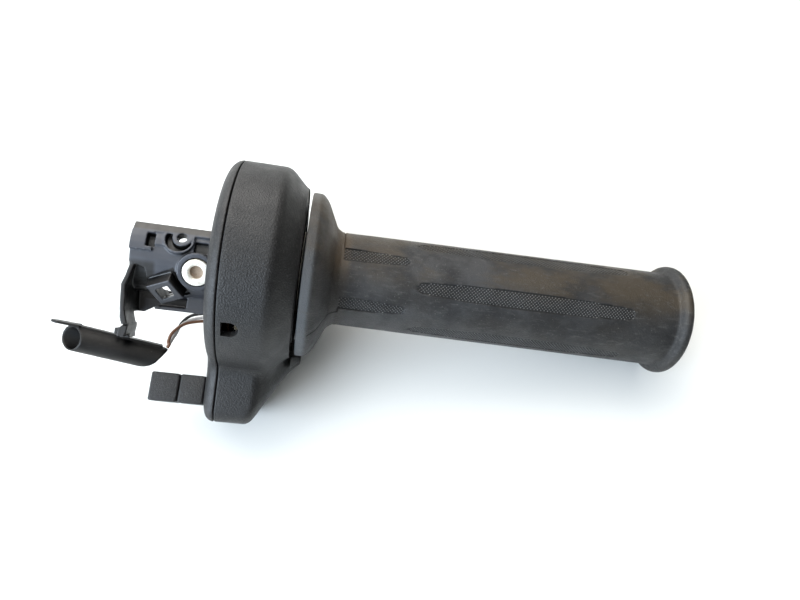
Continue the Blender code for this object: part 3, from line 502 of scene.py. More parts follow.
MAKERS = {
    "housing_plastic": housing_plastic,
    "bracket_plastic": bracket_plastic,
    "grip_rubber": grip_rubber,
    "tube_plastic": tube_plastic,
    "bearing_plastic": bearing_plastic,
    "zinc_metal": zinc_metal,
    "spring_steel": spring_steel,
    "gear_plastic": gear_plastic,
    "heater_foil": heater_foil,
    "circuit_board": circuit_board,
    "tinned_contact": tinned_contact,
    "brown_insulation": insulation("brown_insulation", (0.13, 0.055, 0.028), (0.25, 0.12, 0.065)),
    "white_insulation": insulation("white_insulation", (0.46, 0.44, 0.42), (0.66, 0.64, 0.61)),
    "black_insulation": insulation("black_insulation", (0.010, 0.010, 0.010), (0.022, 0.021, 0.020)),
}
LOOKS = {slot: build() for slot, build in MAKERS.items()}


# ---------------------------------------------------------------- shaping tools


def add_object(name, mesh):
    obj = bpy.data.objects.new(name, mesh)
    bpy.context.scene.collection.objects.link(obj)
    return obj


def stand_for(obj, body, slot, *nodes):
    """Give a finished piece its look, its body and the frame nodes that it stands for."""
    obj.data.materials.clear()
    obj.data.materials.append(LOOKS[slot])
    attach(obj, body)
    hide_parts(*nodes)
    return obj


def shade(mesh, angle=radians(35)):
    mesh.shade_smooth()
    mesh.set_sharp_from_angle(angle=angle)


def mesh_from(name, bm, placing=None):
    """An object in world metres, from a mesh in the grip frame's millimetres."""
    bmesh.ops.recalc_face_normals(bm, faces=bm.faces)
    bm.transform(TO_WORLD @ (placing or Matrix()))
    mesh = bpy.data.meshes.new(name)
    bm.to_mesh(mesh)
    bm.free()
    shade(mesh)
    return add_object(name, mesh)


def tube_of_rings(rings, closed):
    """Skin over rings of points, all with the same number; the ends are capped or joined."""
    bm = bmesh.new()
    made = [[bm.verts.new(point) for point in ring] for ring in rings]
    pairs = list(zip(made, made[1:]))
    if closed:
        pairs.append((made[-1], made[0]))
    for here, there in pairs:
        for k in range(len(here)):
            bm.faces.new((here[k - 1], here[k], there[k], there[k - 1]))
    if not closed:
        bm.faces.new(made[0])
        bm.faces.new(made[-1])
    return bm


def lathe(name, profile, placing=None, steps=FINE):
    """A turned shape about X from an (x, radius) profile: closed if it never meets the axis."""
    closed = profile[0][1] > 0.0
    if not closed:
        profile = [(x, max(radius, 0.02)) for x, radius in profile]
    turns = [2 * pi * k / steps for k in range(steps)]
    rings = [[(x, *on_ring(angle, radius)) for angle in turns] for x, radius in profile]
    return mesh_from(name, tube_of_rings(rings, closed), placing)


def softened(points, radius, closed=True, steps=3):
    """The outline with each corner replaced by a small curve."""
    soft = []
    count = len(points)
    for k, corner in enumerate(points):
        if not closed and k in (0, count - 1):
            soft.append(corner)
            continue
        corner = Vector(corner)
        before = Vector(points[k - 1]) - corner
        after = Vector(points[(k + 1) % count]) - corner
        start = corner + before.normalized() * min(radius, before.length * 0.45)
        end = corner + after.normalized() * min(radius, after.length * 0.45)
        for step in range(steps + 1):
            t = step / steps
            soft.append(tuple(start * (1 - t) ** 2 + corner * 2 * t * (1 - t) + end * t * t))
    return soft


def bar(x0, x1, radius, y=0.0, z=0.0, steps=48):
    """A round bar parallel to X, for cutting or joining."""
    placing = Matrix.Translation((0, y, z))
    return lathe("tool", [(x1, 0.0), (x1, radius), (x0, radius), (x0, 0.0)], placing, steps)


def peg(placing, z0, z1, radius, steps=48):
    """A round bar along the Z of its placing."""
    upright = placing @ Matrix.Rotation(-pi / 2, 4, "Y")
    return lathe("tool", [(z1, 0.0), (z1, radius), (z0, radius), (z0, 0.0)], upright, steps)


def block(size, placing):
    bm = bmesh.new()
    bmesh.ops.create_cube(bm, size=1.0)
    bmesh.ops.scale(bm, vec=Vector(size), verts=bm.verts)
    return mesh_from("tool", bm, placing)


def extruded(outline, x0, x1, placing=None):
    """An outline in (y, z), extruded along X."""
    rings = [[(x, y, z) for y, z in outline] for x in (x0, x1)]
    return mesh_from("tool", tube_of_rings(rings, False), placing)


def settle(obj):
    """Turn what the object's modifiers make into its own mesh."""
    bpy.context.view_layer.update()
    shaped = obj.evaluated_get(bpy.context.evaluated_depsgraph_get())
    mesh = bpy.data.meshes.new_from_object(shaped)
    obj.modifiers.clear()
    obj.data = mesh
    return obj


def reshape(obj, tools, operation="DIFFERENCE"):
    """Cut the tools from the object, or join them to it, and remove them."""
    for tool in tools:
        change = obj.modifiers.new("change", "BOOLEAN")
        change.operation = operation
        change.solver = "EXACT"
        change.object = tool
        settle(obj)
        bpy.data.objects.remove(tool, do_unlink=True)
    shade(obj.data)
    return obj


def mould(obj, voxel, rounds):
    """Round every edge a little, as a mould does: one even skin, relaxed a few times."""
    skin = obj.modifiers.new("skin", "REMESH")
    skin.mode = "VOXEL"
    skin.voxel_size = voxel * MM
    relax = obj.modifiers.new("relax", "SMOOTH")
    relax.factor = 0.5
    relax.iterations = rounds
    settle(obj)
    obj.data.shade_smooth()
    return obj


def copy_of(name, node):
    """A closed copy of a frame node's mesh."""
    bm = bmesh.new()
    bm.from_mesh(frame["nodes"][node].data)
    bmesh.ops.remove_doubles(bm, verts=bm.verts, dist=0.000002)
    mesh = bpy.data.meshes.new(name)
    bm.to_mesh(mesh)
    bm.free()
    return add_object(name, mesh)


def smooth_route(points, steps=3):
    """Points along a smooth curve through the route's own points."""
    ends = [points[0]] + list(points) + [points[-1]]
    route = []
    for before, here, there, after in zip(ends, ends[1:], ends[2:], ends[3:]):
        for k in range(steps):
            t = k / steps
            a = here * 2.0
            b = (there - before) * t
            c = (before * 2.0 - here * 5.0 + there * 4.0 - after) * t * t
            d = (here * 3.0 - before - there * 3.0 + after) * t**3
            route.append((a + b + c + d) / 2.0)
    return route + [Vector(points[-1])]


def arc(centre, radius, start, end, steps):
    turn = (end - start) / steps
    return [
        (centre[0] + radius * cos(start + turn * k), centre[1] + radius * sin(start + turn * k))
        for k in range(steps + 1)
    ]


# ---------------------------------------------------------------- rubber grip


def strip_half_width(x, reach, middle, ends):
    """Half width of a leaf-shaped strip at each x: widest in its middle, with round ends."""
    start, end = reach
    share = np.clip((x - start) / (end - start), 0.0, 1.0)
    half = ends + (middle - ends) * np.sin(pi * share) ** 0.5
    near = np.minimum(x - start, end - x)
    cap = np.clip(near / ends, 0.0, 1.0)
    return np.where(near < 0.0, 0.0, half * np.sqrt(1.0 - (1.0 - cap) ** 2))


def short_half_width(x):
    """Half width of a short strip: cut off square at the neck, rounded at its outer end."""
    start, end = SHORT_STRIP_X
    share = np.clip((x - start) / (end - start), 0.0, 1.0)
    half = SHORT_STRIP_HALF - share**2
    cap = np.clip((end - x) / 1.4, 0.0, 1.0)
    return np.where((x < start - 0.01) | (x > end), 0.0, half * np.sqrt(1.0 - (1.0 - cap) ** 2))


def lines_round():
    """Angles of the grip's lengthwise mesh lines: close in the strips, wide between them."""
    step_angle = STRIP_STEP / GRIP_MID_R
    long_reach = LONG_STRIP_LINES * step_angle
    short_reach = SHORT_STRIP_LINES * step_angle
    angles = []
    for k in range(STRIP_COUNT):
        centre = 2 * pi * k / STRIP_COUNT
        other = centre + pi / STRIP_COUNT
        following = other + pi / STRIP_COUNT
        for middle, lines in ((centre, LONG_STRIP_LINES), (other, SHORT_STRIP_LINES)):
            angles += [middle + line * step_angle for line in range(-lines, lines + 1)]
        for low, high in ((centre + long_reach, other - short_reach),
                          (other + short_reach, following - long_reach)):
            angles.append((low + high) / 2)
    seam = [SEAM_ANGLE - radians(0.6), SEAM_ANGLE, SEAM_ANGLE + radians(0.6)]
    angles = [angle for angle in angles if abs(angle - SEAM_ANGLE) > radians(0.9)] + seam
    return np.array(sorted(angle % (2 * pi) for angle in angles))


def barrel_rows():
    """Places along the barrel: close together under the strips, from free end to neck."""
    rows = [CREASE_X - 1.2, 114.0, 110.0, 106.0, 103.0]
    rows += list(np.arange(LONG_STRIP_X[1], LONG_STRIP_X[0] - 0.01, -STRIP_STEP))
    rows += [22.8, 21.6]
    rows += list(np.arange(SHORT_STRIP_X[1], SHORT_STRIP_X[0] - 0.75, -STRIP_STEP))
    return rows


def knurling(x, angle):
    """Depth under the barrel's own radius; +1 on knurl peaks, -1 in valleys and at a strip's edge."""
    across = angle * GRIP_MID_R
    pitch_round = 2 * pi * GRIP_MID_R / STRIP_COUNT
    down = np.zeros(np.broadcast(x, angle).shape)
    tread = down.copy()
    for centre, half in ((0.0, strip_half_width(x, LONG_STRIP_X, LONG_STRIP_HALF, LONG_STRIP_END)),
                         (pitch_round / 2, short_half_width(x))):
        aside = (across - centre + pitch_round / 2) % pitch_round - pitch_round / 2
        edge = np.clip((half - np.abs(aside)) / 0.25 + 0.5, 0.0, 1.0) * (half > 0.0)
        start = LONG_STRIP_X[1] if centre == 0.0 else SHORT_STRIP_X[1]
        one = np.abs(((start - x + aside) / KNURL_PITCH) % 1.0 - 0.5) * 2.0
        two = np.abs(((start - x - aside) / KNURL_PITCH) % 1.0 - 0.5) * 2.0
        low = 1.0 - np.minimum(1.0 - one, 1.0 - two)
        down = np.maximum(down, edge * (0.04 + (KNURL_DEPTH - 0.04) * low))
        tread += np.where(edge > 0.9, 1.0 - 2.0 * low, np.where(edge > 0.05, -1.0, 0.0))
    return down, tread


def seams(x, angle):
    """Depth of the two L-shaped parting seams at the neck."""
    short = pi / STRIP_COUNT
    edge = SHORT_STRIP_HALF / GRIP_MID_R
    width = 0.16
    narrow = width / GRIP_MID_R
    hair = 0.002
    upper = 2 * pi - short - edge
    legs = (
        (np.abs(x - SHORT_STRIP_X[0]) < width) & (angle > radians(235)) & (angle < upper + narrow),
        (np.abs(angle - upper) < narrow) & (x > SHORT_STRIP_X[0]) & (x < 4.2),
        (np.abs(angle - short - edge) < narrow) & (x > SHORT_STRIP_X[0]) & (x < 11.5),
        (np.abs(x - SHORT_STRIP_X[0]) < width) & (angle > short + edge) & (angle < SEAM_ANGLE + hair),
        (np.abs(angle - SEAM_ANGLE) < hair) & (x > FLANGE_X[1] + 0.6) & (x < SHORT_STRIP_X[0]),
    )
    return SEAM_DEPTH * np.any(legs, axis=0)


def grip_mesh():
    """Flange, knurled barrel and end bead in one closed skin."""
    lip = GRIP_END_X - BEAD_X
    face = [(GRIP_END_X, RIDE_R + 0.5), (GRIP_END_X, 15.0), (GRIP_END_X, 17.0)]
    bead = arc((BEAD_X, BEAD_R - lip), lip, 0.0, pi / 2, 7)
    crease = [(120.3, 20.22), (119.7, 20.08), (119.2, 19.75), (118.75, 19.2), (118.4, 18.55),
              (118.1, 17.95), (CREASE_X, 17.68), (117.3, 17.58)]
    rows = barrel_rows()
    barrel = [(x, float(np.interp(x, (0.0, 8.0, 60.0, CREASE_X - 1.2),
                                  (GRIP_ROOT_R, GRIP_ROOT_R + 0.1, GRIP_MID_R, GRIP_TIP_R))))
              for x in rows]
    neck = [(-3.2, 16.68), (-4.6, 17.7), (-5.6, 19.6), (-7.0, 22.6), (-8.4, 25.5), (-9.6, 27.2),
            (-10.6, 28.15)]
    route = smooth_route([Vector((*barrel[-1], 0))] + [Vector((*point, 0)) for point in neck], 4)
    neck = [(point.x, point.y) for point in route[1:]]
    flange = softened([(-10.6, 28.15), (FLANGE_X[1], FLANGE_R), (FLANGE_X[0], FLANGE_R),
                       (FLANGE_X[0], RIDE_R), (SLEEVE_X[0] - GAP, RIDE_R)], 0.55, False, 4)[1:-1]
    room = SLEEVE_R + GAP
    bore = [(SLEEVE_X[0] - GAP, RIDE_R), (SLEEVE_X[0] - GAP, room), (SLEEVE_X[1] + GAP, room),
            (SLEEVE_X[1] + GAP, RIDE_R), (GRIP_END_X - 0.5, RIDE_R)]
    profile = face + bead + crease + barrel + neck + flange + bore
    x = np.array([point[0] for point in profile])[:, None]
    radius = np.array([point[1] for point in profile])[:, None]
    angle = lines_round()[None, :]
    outside = np.zeros(len(profile), bool)
    first = len(face) + len(bead) + len(crease)
    outside[first:first + len(barrel) + len(neck)] = True
    down, tread = knurling(x, angle)
    marks = np.maximum(down, seams(x, angle)) * outside[:, None]
    radius = radius - marks
    points = np.stack(np.broadcast_arrays(x, -radius * np.sin(angle), radius * np.cos(angle)), -1)
    count = points.shape[1]
    turn = np.array(TO_WORLD.to_3x3())
    world = points.reshape(-1, 3) @ turn.T + np.array(TO_WORLD.translation)
    here = np.arange(len(world)).reshape(-1, count)
    beside = np.roll(here, -1, axis=1)
    after, diagonal = np.roll(here, -1, axis=0), np.roll(beside, -1, axis=0)
    faces = np.stack([here, after, diagonal, beside], -1).reshape(-1, 4)
    mesh = bpy.data.meshes.new("grip")
    mesh.from_pydata(world.tolist(), [], faces.tolist())
    mesh.update()
    # tread: mask for the painted shade in the knurl valleys and strip edges, and for the paler peaks.
    tread_layer = mesh.attributes.new("tread", "FLOAT", "POINT")
    tread_layer.data.foreach_set("value", (tread * outside[:, None]).ravel())
    shade(mesh, radians(40))
    return add_object("grip", mesh)


def rubber_grip():
    stand_for(grip_mesh(), "twist", "grip_rubber", "grip_rubber")


# ---------------------------------------------------------------- housing


def housing_outline(inset=0.0, radius=RIM_R, top=LOBE_TOP, bottom=LOBE_BOTTOM, reach=LOBE_REACH,
                    corner=LOBE_CORNER, fillet=LOBE_FILLET, round_steps=132, bend_steps=10):
    """Round rim and square lobe in one outline, with round corners and filleted roots."""
    radius, top, bottom, reach = (size - inset for size in (radius, top, bottom, reach))
    corner = max(corner - inset, 0.6)
    fillet = fillet + inset
    upper_z = top + fillet
    upper_y = -sqrt((radius + fillet) ** 2 - upper_z**2)
    lower_z = -bottom - fillet
    lower_y = -sqrt((radius + fillet) ** 2 - lower_z**2)
    start = atan2(upper_z, upper_y)
    end = atan2(lower_z, lower_y)
    outline = arc((0, 0), radius, start, end, round_steps)
    outline += arc((lower_y, lower_z), fillet, end + pi, pi / 2, bend_steps)[1:]
    outline += arc((-reach + corner, -bottom + corner), corner, -pi / 2, -pi, bend_steps)
    outline += arc((-reach + corner, top - corner), corner, pi, pi / 2, bend_steps)
    outline += arc((upper_y, upper_z), fillet, -pi / 2, start - pi, bend_steps)[:-1]
    return outline


def outline_ring(x, *sizes):
    return [(x, y, z) for y, z in housing_outline(*sizes)]


LOBE_CORNER_Y = 4.2 - LOBE_REACH
SCREW_PLACES = (
    (LOBE_CORNER_Y, 6.0),
    (LOBE_CORNER_Y, -10.6),
    (29.8 * cos(radians(35)), 29.8 * sin(radians(35))),
    (29.8 * cos(radians(35)), -29.8 * sin(radians(35))),
)
EDGE = 0.4


def edge_inset(distance):
    """Inset of a rounded edge at this distance from the end face."""
    near = min(max(1.0 - distance / EDGE, 0.0), 1.0)
    return EDGE * (1.0 - sqrt(1.0 - near**2))


def shell_sizes():
    """(x, radius, top, reach, corner, fillet) along the shell, its creases rounded off."""
    ramp = np.array((
        (SPLIT_X, RIM_R, LOBE_TOP, LOBE_REACH, 6.0, 6.0),
        (LOBE_SHOULDER_X, RIM_R, LOBE_TOP, LOBE_REACH, 6.0, 6.0),
        (-25.2, RIM_R, LOBE_TOP, 51.2, 6.0, 6.0),
        (RIM_SHOULDER_X, RIM_R, 9.4, 47.0, 5.0, 5.0),
        (-20.6, 34.0, 6.0, 43.2, 4.0, 4.0),
        (-18.3, 31.4, 2.6, 39.4, 3.0, 3.0),
        (END_WALL_X[1], 29.9, -0.4, 36.6, 3.0, 2.5),
        (END_WALL_X[1] + 0.1, 29.2, -0.6, 36.5, 3.0, 2.5),
        (-14.0, 29.2, -4.4, 34.2, 2.5, 1.8),
        (SHELL_TOE_X, 29.2, -7.0, 32.4, 2.0, 1.2),
    ))
    straight = [SPLIT_X + step for step in (0.0, 0.1, 0.2, 0.3, 0.4, 2.0, 4.0, 6.0, 8.0)]
    toe = [SHELL_TOE_X - step for step in (0.4, 0.3, 0.2, 0.1, 0.0)]
    places = straight + list(np.arange(-29.0, -12.8, 0.35)) + toe
    spread = np.linspace(-1.6, 1.6, 17)
    sizes = []
    for x in places:
        near = np.clip(x + spread, SPLIT_X, SHELL_TOE_X)
        means = (np.interp(near, ramp[:, 0], ramp[:, k]).mean() for k in range(1, 6))
        sizes.append((x, *(float(mean) for mean in means)))
    return sizes


def shell():
    """Grip-side half: open toward the cover, with the neck that the tube turns in."""
    rings = []
    for x, radius, top, reach, corner, fillet in shell_sizes():
        inset = edge_inset(x - SPLIT_X) + edge_inset(SHELL_TOE_X - x)
        rings.append(outline_ring(x, inset, radius, top, LOBE_BOTTOM, reach, corner, fillet))
    body = mesh_from("shell", tube_of_rings(rings, False))
    hollow = extruded(housing_outline(WALL), SPLIT_X - 2, LOBE_SHOULDER_X - 0.5)
    room_x, wide = END_WALL_X[0], RIM_R - WALL - 0.4
    neck = softened([
        (-8, FLANGE_ROOM_R), (END_WALL_X[1], FLANGE_ROOM_R), (END_WALL_X[1], NECK_R),
        (NECK_X, NECK_R), (NECK_X, BUSH_R + GAP), (room_x, BUSH_R + GAP), (room_x, 30.2),
        (room_x - 3, wide), (-28.5, wide)], 0.25, False)
    bore = lathe("tool", [(-8, 0.0)] + neck + [(-28.5, 0.0)])
    reshape(body, (hollow, bore))
    reshape(body, [bar(SPLIT_X, LOBE_SHOULDER_X + 0.8 if y < 0 else END_WALL_X[0] + 1.5, 2.5, y, z)
                   for y, z in SCREW_PLACES], "UNION")
    placing = radial(SPLIT_X, NOTCH_ANGLE)
    mouth = placing @ Matrix.Translation((3.0, 0, 34.75))
    reshape(body, [
        peg(placing @ Matrix.Translation((4.2, 0, 0)), 31.5, 38, NOTCH_R),
        block((2.9, 2 * NOTCH_R, 6.5), mouth),
        *(bar(SPLIT_X - 1, -29.5, 1.65, y, z) for y, z in SCREW_PLACES),
    ])
    stand_for(body, "root", "housing_plastic", "housing_shell")


def cover():
    """Inboard half: a domed plate that closes the shell and carries the bracket."""
    depth = SPLIT_X - GAP - COVER_X
    rings = []
    for step in (0.0, 0.1, 0.2, 0.3, 0.4):
        rings.append(outline_ring(SPLIT_X - GAP - step, edge_inset(step)))
    for k in range(2, 17):
        turn = pi / 2 * k / 16
        rings.append(outline_ring(SPLIT_X - GAP - depth * sin(turn), DOME_INSET * (1 - cos(turn))))
    plate = mesh_from("cover", tube_of_rings(rings, False))
    groove = tube_of_rings([[(-38.9, y, z) for y, z in housing_outline(0.7)],
                            [(-37.0, y, z) for y, z in housing_outline(0.7)],
                            [(-37.0, y, z) for y, z in housing_outline(2.1)],
                            [(-38.9, y, z) for y, z in housing_outline(2.1)]], True)
    room = [(-36, 19.0), (-36, 26.5), (-39.8, 26.5), (-39.8, 19.0)]
    board = block((3.8, 16.6, 16.0), Matrix.Translation((-37.9, -37.3, -2.0)))
    reshape(plate, [bar(-50, -30, BUSH_R + GAP, steps=FINE), bar(-39.6, -30, 16.7, steps=FINE),
                    lathe("tool", room), board, mesh_from("tool", groove)])
    step = [(-30, 0.0), (-30, 1.7), (-39.6, 1.7), (-39.6, 2.8), (-45, 2.8), (-45, 0.0)]
    reshape(plate, [lathe("tool", step, Matrix.Translation((0, y, z)), 48) for y, z in SCREW_PLACES])
    reshape(plate, [bar(-45, -40.4, 1.6, *on_ring(angle, EAR_SCREW_R)) for angle in BRACKET_SCREW_ANGLES])
    stand_for(plate, "root", "housing_plastic", "housing_cover")


def screws():
    """Round-headed screws with a hexagon socket, in the cover and in the bracket's ears."""
    housing = [(-30.0, 0.0), (-30.0, 1.1), (-30.4, 1.35), (-39.9, 1.35), (-39.9, 2.4), (-40.6, 2.38),
               (-40.95, 2.15), (-41.1, 1.8), (-41.1, 0.0)]
    bracket = [(-40.8, 0.0), (-40.8, 1.0), (-41.0, 1.25), (FOOT_X - GAP, 1.25), (FOOT_X - GAP, 2.5),
               (-45.5, 2.46), (-45.85, 2.2), (-46.0, 1.8), (-46.0, 0.0)]
    jobs = [(f"housing_screw_{k + 1}", housing, place) for k, place in enumerate(SCREW_PLACES)]
    jobs += [(f"bracket_screw_{k + 1}", bracket, on_ring(angle, EAR_SCREW_R))
             for k, angle in enumerate(BRACKET_SCREW_ANGLES)]
    for name, profile, (y, z) in jobs:
        placing = Matrix.Translation((0, y, z))
        screw = lathe(f"{name}_turned", profile, placing, 48)
        hexagon = [(1.25 * cos(pi / 3 * k), 1.25 * sin(pi / 3 * k)) for k in range(6)]
        head = profile[-1][0]
        reshape(screw, [extruded(hexagon, head - 1.0, head + 0.8, placing)])
        stand_for(screw, "root", "spring_steel", name)


# ---------------------------------------------------------------- tube and bearings


def tube():
    section = [(TUBE_X[1], TUBE_R), (TUBE_X[0], TUBE_R), (TUBE_X[0], BORE_R), (TUBE_X[1], BORE_R)]
    stand_for(lathe("turning_tube", softened(section, 0.3)), "twist", "tube_plastic", "throttle_tube")


def bearings():
    inboard = [(-38.6, 16.4), (-39.3, 16.4), (-39.3, BUSH_R), (-41.9, BUSH_R), (-41.9, RIDE_R),
               (-38.6, RIDE_R)]
    outboard = [(NECK_X, BUSH_R), (-20.8, BUSH_R), (-20.8, RIDE_R), (NECK_X, RIDE_R)]
    for name, section in (("inboard_bearing", inboard), ("outboard_bearing", outboard)):
        stand_for(lathe(f"{name}_ring", softened(section, 0.2)), "root", "bearing_plastic", name)


# ---------------------------------------------------------------- bracket


def bracket():
    body = mould(copy_of("bracket_body", "switch_bracket"), 0.24, 5)
    stand_for(body, "root", "bracket_plastic", "switch_bracket")
    clip = copy_of("clip_body", "connector_clip")
    root = block((1.5, 1.2, 10.4), Matrix.Translation((-68.45, -23.7, 6.5)))
    reshape(clip, [root], "UNION")
    stand_for(mould(clip, 0.18, 4), "root", "bracket_plastic", "connector_clip")


def clamp_bush():
    """Cup with a turned face, a countersunk mouth and a closed bottom."""
    upright = radial(CLAMP_X, CLAMP_ANGLE) @ Matrix.Rotation(-pi / 2, 4, "Y")
    top = PROUD_R + 0.4
    section = [(13.3, 0.0), (13.3, 2.15), (top - 0.5, 2.15), (top, 2.6), (top, 4.35), (12.7, 4.35),
               (12.7, 0.0)]
    ring = lathe("bush_cup", softened(section, 0.18, False), upright, 96)
    stand_for(ring, "root", "zinc_metal", "clamp_bush")


# ---------------------------------------------------------------- connectors and leads


def heater_connector():
    """Round connector: oblique mouth, rounded tail, and a latch tongue and a rail on its upper side."""
    r = HEATER_R
    floor_x = CARRIER_X[1] + GAP
    profile = [(PLUG_LENGTH, 0.0), (PLUG_LENGTH, 3.4), (PLUG_LENGTH - 0.8, r - 0.3),
               (PLUG_LENGTH - 1.8, r), (-4.0, r), (-4.0, HEATER_BORE_R), (floor_x, HEATER_BORE_R),
               (floor_x, 0.0)]
    body = lathe("heater_plug", profile, PLUG, 96)
    slant = PLUG @ Matrix.Translation((1.6, 0, 0)) @ Matrix.Rotation(radians(40), 4, "Y")
    tools = [block((20, 20, 30), slant @ Matrix.Translation((-10, 0, 0)))]
    x, y = PLUG_LENGTH - TAIL_CUT, 0.0
    for angle, height in ((TAIL_SLANT, 1.3), (radians(46), 1.3), (radians(60), 1.0), (radians(74), 0.6)):
        away = PLUG @ Matrix.Translation((x, y, 0)) @ Matrix.Rotation(-angle, 4, "Z")
        tools.append(block((20, 30, 20), away @ Matrix.Translation((10, 0, 0))))
        x, y = x - height * tan(angle), y - height
    reshape(body, tools)
    tongue = [(-5.7, 0.0), (-5.1, 1.0), (-3.8, 1.9), (3.4, 2.2), (3.4, -2.2), (-3.8, -1.9), (-5.1, -1.0)]
    upper = PLUG @ Matrix.Translation((0, r + 0.2, 0)) @ Matrix.Rotation(radians(-90), 4, "X")
    flat = upper @ Matrix.Rotation(radians(-3), 4, "Y")
    skin = tube_of_rings([[(x, y, z) for x, y in tongue] for z in (-0.45, 0.45)], False)
    rail_x = (2.6, PLUG_LENGTH - TAIL_CUT)
    middle = PLUG @ Matrix.Translation((sum(rail_x) / 2, r + 0.05, 0))
    rail = block((rail_x[1] - rail_x[0], 1.0, 3.4), middle)
    reshape(body, [mesh_from("tool", skin, flat), rail], "UNION")
    stand_for(mould(body, 0.2, 4), "root", "tube_plastic", "heater_connector")


def sensor_connector():
    """Rectangular socket on the cover's lobe: base and open shroud, with softened edges."""
    wide, deep = 2 * SENSOR_HALF_Y, 2 * SENSOR_HALF_Z
    for name, (x0, x1) in (("sensor_connector_base", SENSOR_BASE_X),
                           ("sensor_connector_shroud", SENSOR_SHROUD_X)):
        placing = SOCKET @ Matrix.Translation(((x0 + x1) / 2, 0, 0))
        body = block((x1 - x0, wide, deep), placing)
        body.name = f"{name}_case"
        edge = body.modifiers.new("edge", "BEVEL")
        edge.width = 0.7 * MM
        edge.segments = 6
        settle(body)
        if name == "sensor_connector_shroud":
            inset = 1.4
            floor_x = x1 - 1.2
            room = SOCKET @ Matrix.Translation(((floor_x - 70) / 2, 0, 0))
            reshape(body, [block((floor_x + 70, wide - 2 * inset, deep - 2 * inset), room)])
        shade(body.data)
        stand_for(body, "root", "housing_plastic", name)


def wire(name, points, look_slot, node):
    curve = bpy.data.curves.new(name, "CURVE")
    curve.dimensions = "3D"
    curve.bevel_depth = LEAD_R * MM
    curve.bevel_resolution = 6
    curve.use_fill_caps = True
    spline = curve.splines.new("POLY")
    spline.points.add(len(points) - 1)
    for point, place in zip(spline.points, points):
        point.co = (*(TO_WORLD @ place), 1.0)
    spline.use_smooth = True
    stand_for(add_object(name, curve), "root", look_slot, node)


def leads():
    """Heater leads, held between the grommet in the cover and the heater connector's tail."""
    exit_y, exit_z = LEAD_EXIT
    tip = Vector((PLUG_LENGTH - 0.9, HEATER_R + 0.2, 0.0))
    routes = {
        "brown_lead": (-1.4, 1.25, [(-48.4, -21.1, -6.2), (-53.5, -22.6, -4.6), (-56.8, -25.8, -3.0),
                                    (-57.7, -29.0, -2.3)]),
        "white_lead": (0.0, 0.0, [(-47.8, -19.7, -7.0), (-52.6, -21.4, -6.4), (-55.4, -24.2, -5.2),
                                  (-56.8, -28.0, -4.2)]),
        "black_lead": (1.4, -1.25, [(-47.6, -18.3, -7.8), (-52.2, -19.6, -7.9), (-55.0, -22.4, -7.2),
                                    (-56.4, -26.5, -6.2)]),
    }
    for node, (start_y, end_z, middle) in routes.items():
        begin = Vector((-44.8, exit_y + start_y, exit_z))
        straight = begin + Vector((-1.0, 0.0, 0.0))
        end = tip + Vector((0.0, 0.0, end_z))
        approach = PLUG @ (end + Vector((0.3, 1.4, 0.0)))
        points = [begin, straight] + [Vector(place) for place in middle] + [approach, PLUG @ end]
        slot = node.replace("lead", "insulation")
        wire(f"{node}_wire", smooth_route(points, 10), slot, node)


def grommet():
    """Ribbed rubber collar that the leads leave the cover by."""
    section = [(COVER_X - GAP, 0.0), (COVER_X - GAP, 2.6), (-43.0, 2.6), (-43.2, 2.2), (-43.5, 2.2),
               (-43.7, 2.5), (-44.1, 2.4), (-44.5, 1.9), (-44.5, 0.0)]
    placing = Matrix.Translation((0, *LEAD_EXIT))
    stand_for(lathe("lead_collar", section, placing, 48), "root", "grip_rubber", "lead_grommet")


# ---------------------------------------------------------------- everything else


def carried_over():
    """Frame nodes that stay as they are get the look of their own material slot."""
    slots = {part["node"]: part["material_slot"] for part in frame["record"]["subparts"]}
    for name, obj in frame["nodes"].items():
        obj.data.materials.clear()
        obj.data.materials.append(LOOKS[slots[name]])


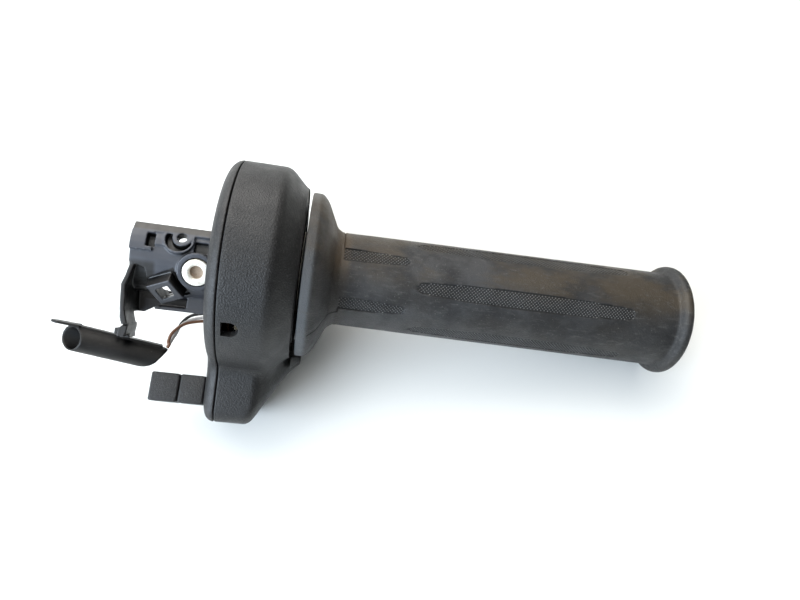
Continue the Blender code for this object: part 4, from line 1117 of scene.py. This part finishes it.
def studio():
    """Pale floor, soft lights and the camera."""
    bm = bmesh.new()
    bmesh.ops.create_grid(bm, x_segments=1, y_segments=1, size=3.0)
    mesh = bpy.data.meshes.new("floor")
    bm.to_mesh(mesh)
    bm.free()
    floor = add_object("floor", mesh)
    look = bpy.data.materials.new("floor_paint")
    look.use_nodes = True
    shader = look.node_tree.nodes["Principled BSDF"]
    shader.inputs["Base Color"].default_value = (0.82, 0.82, 0.79, 1.0)
    shader.inputs["Roughness"].default_value = 0.7
    mesh.materials.append(look)

    for name, place, size, power, colour in (
        ("window", (-0.30, 0.62, 0.70), 1.0, 10.5, (1.0, 0.96, 0.91)),
        ("sky", (-0.70, -0.50, 0.42), 0.6, 13.0, (0.74, 0.86, 1.0)),
        ("ceiling", (-0.25, 0.10, 1.05), 1.8, 11.5, (1.0, 0.99, 0.96)),
    ):
        data = bpy.data.lights.new(name, "AREA")
        data.size = size
        data.energy = power
        data.color = colour
        lamp = bpy.data.objects.new(name, data)
        bpy.context.scene.collection.objects.link(lamp)
        lamp.location = place
        lamp.rotation_euler = (-Vector(place)).to_track_quat("-Z", "Y").to_euler()

    world = bpy.data.worlds.new("room")
    world.use_nodes = True
    tree = world.node_tree
    background = tree.nodes["Background"]
    background.inputs["Color"].default_value = (0.80, 0.90, 1.0, 1.0)
    direction = tree.nodes.new("ShaderNodeSeparateXYZ")
    source = tree.nodes.new("ShaderNodeTexCoord").outputs["Generated"]
    tree.links.new(source, direction.inputs[0])
    fade = tree.nodes.new("ShaderNodeMapRange")
    numbers = (-0.6, 0.6, ROOM_LIGHT[0], ROOM_LIGHT[1])
    for socket, number in zip(fade.inputs[1:5], numbers):
        socket.default_value = number
    tree.links.new(direction.outputs["X"], fade.inputs["Value"])
    tree.links.new(fade.outputs["Result"], background.inputs["Strength"])
    bpy.context.scene.world = world
    bpy.context.scene.view_settings.view_transform = "Standard"

    data = bpy.data.cameras.new("camera")
    data.lens = CAMERA_LENS
    data.clip_start = 0.01
    camera = bpy.data.objects.new("camera", data)
    bpy.context.scene.collection.objects.link(camera)
    turn_y, turn_x, turn_z = CAMERA_TURNS
    aim = Matrix.Rotation(turn_y, 4, "Y") @ Matrix.Rotation(turn_x, 4, "X") @ Matrix.Rotation(turn_z, 4, "Z")
    camera.matrix_world = GRIP @ Matrix.Translation(CAMERA_PLACE * MM) @ aim
    bpy.context.scene.camera = camera


studio()
carried_over()
rubber_grip()
shell()
cover()
screws()
tube()
bearings()
bracket()
clamp_bush()
heater_connector()
sensor_connector()
leads()
grommet()
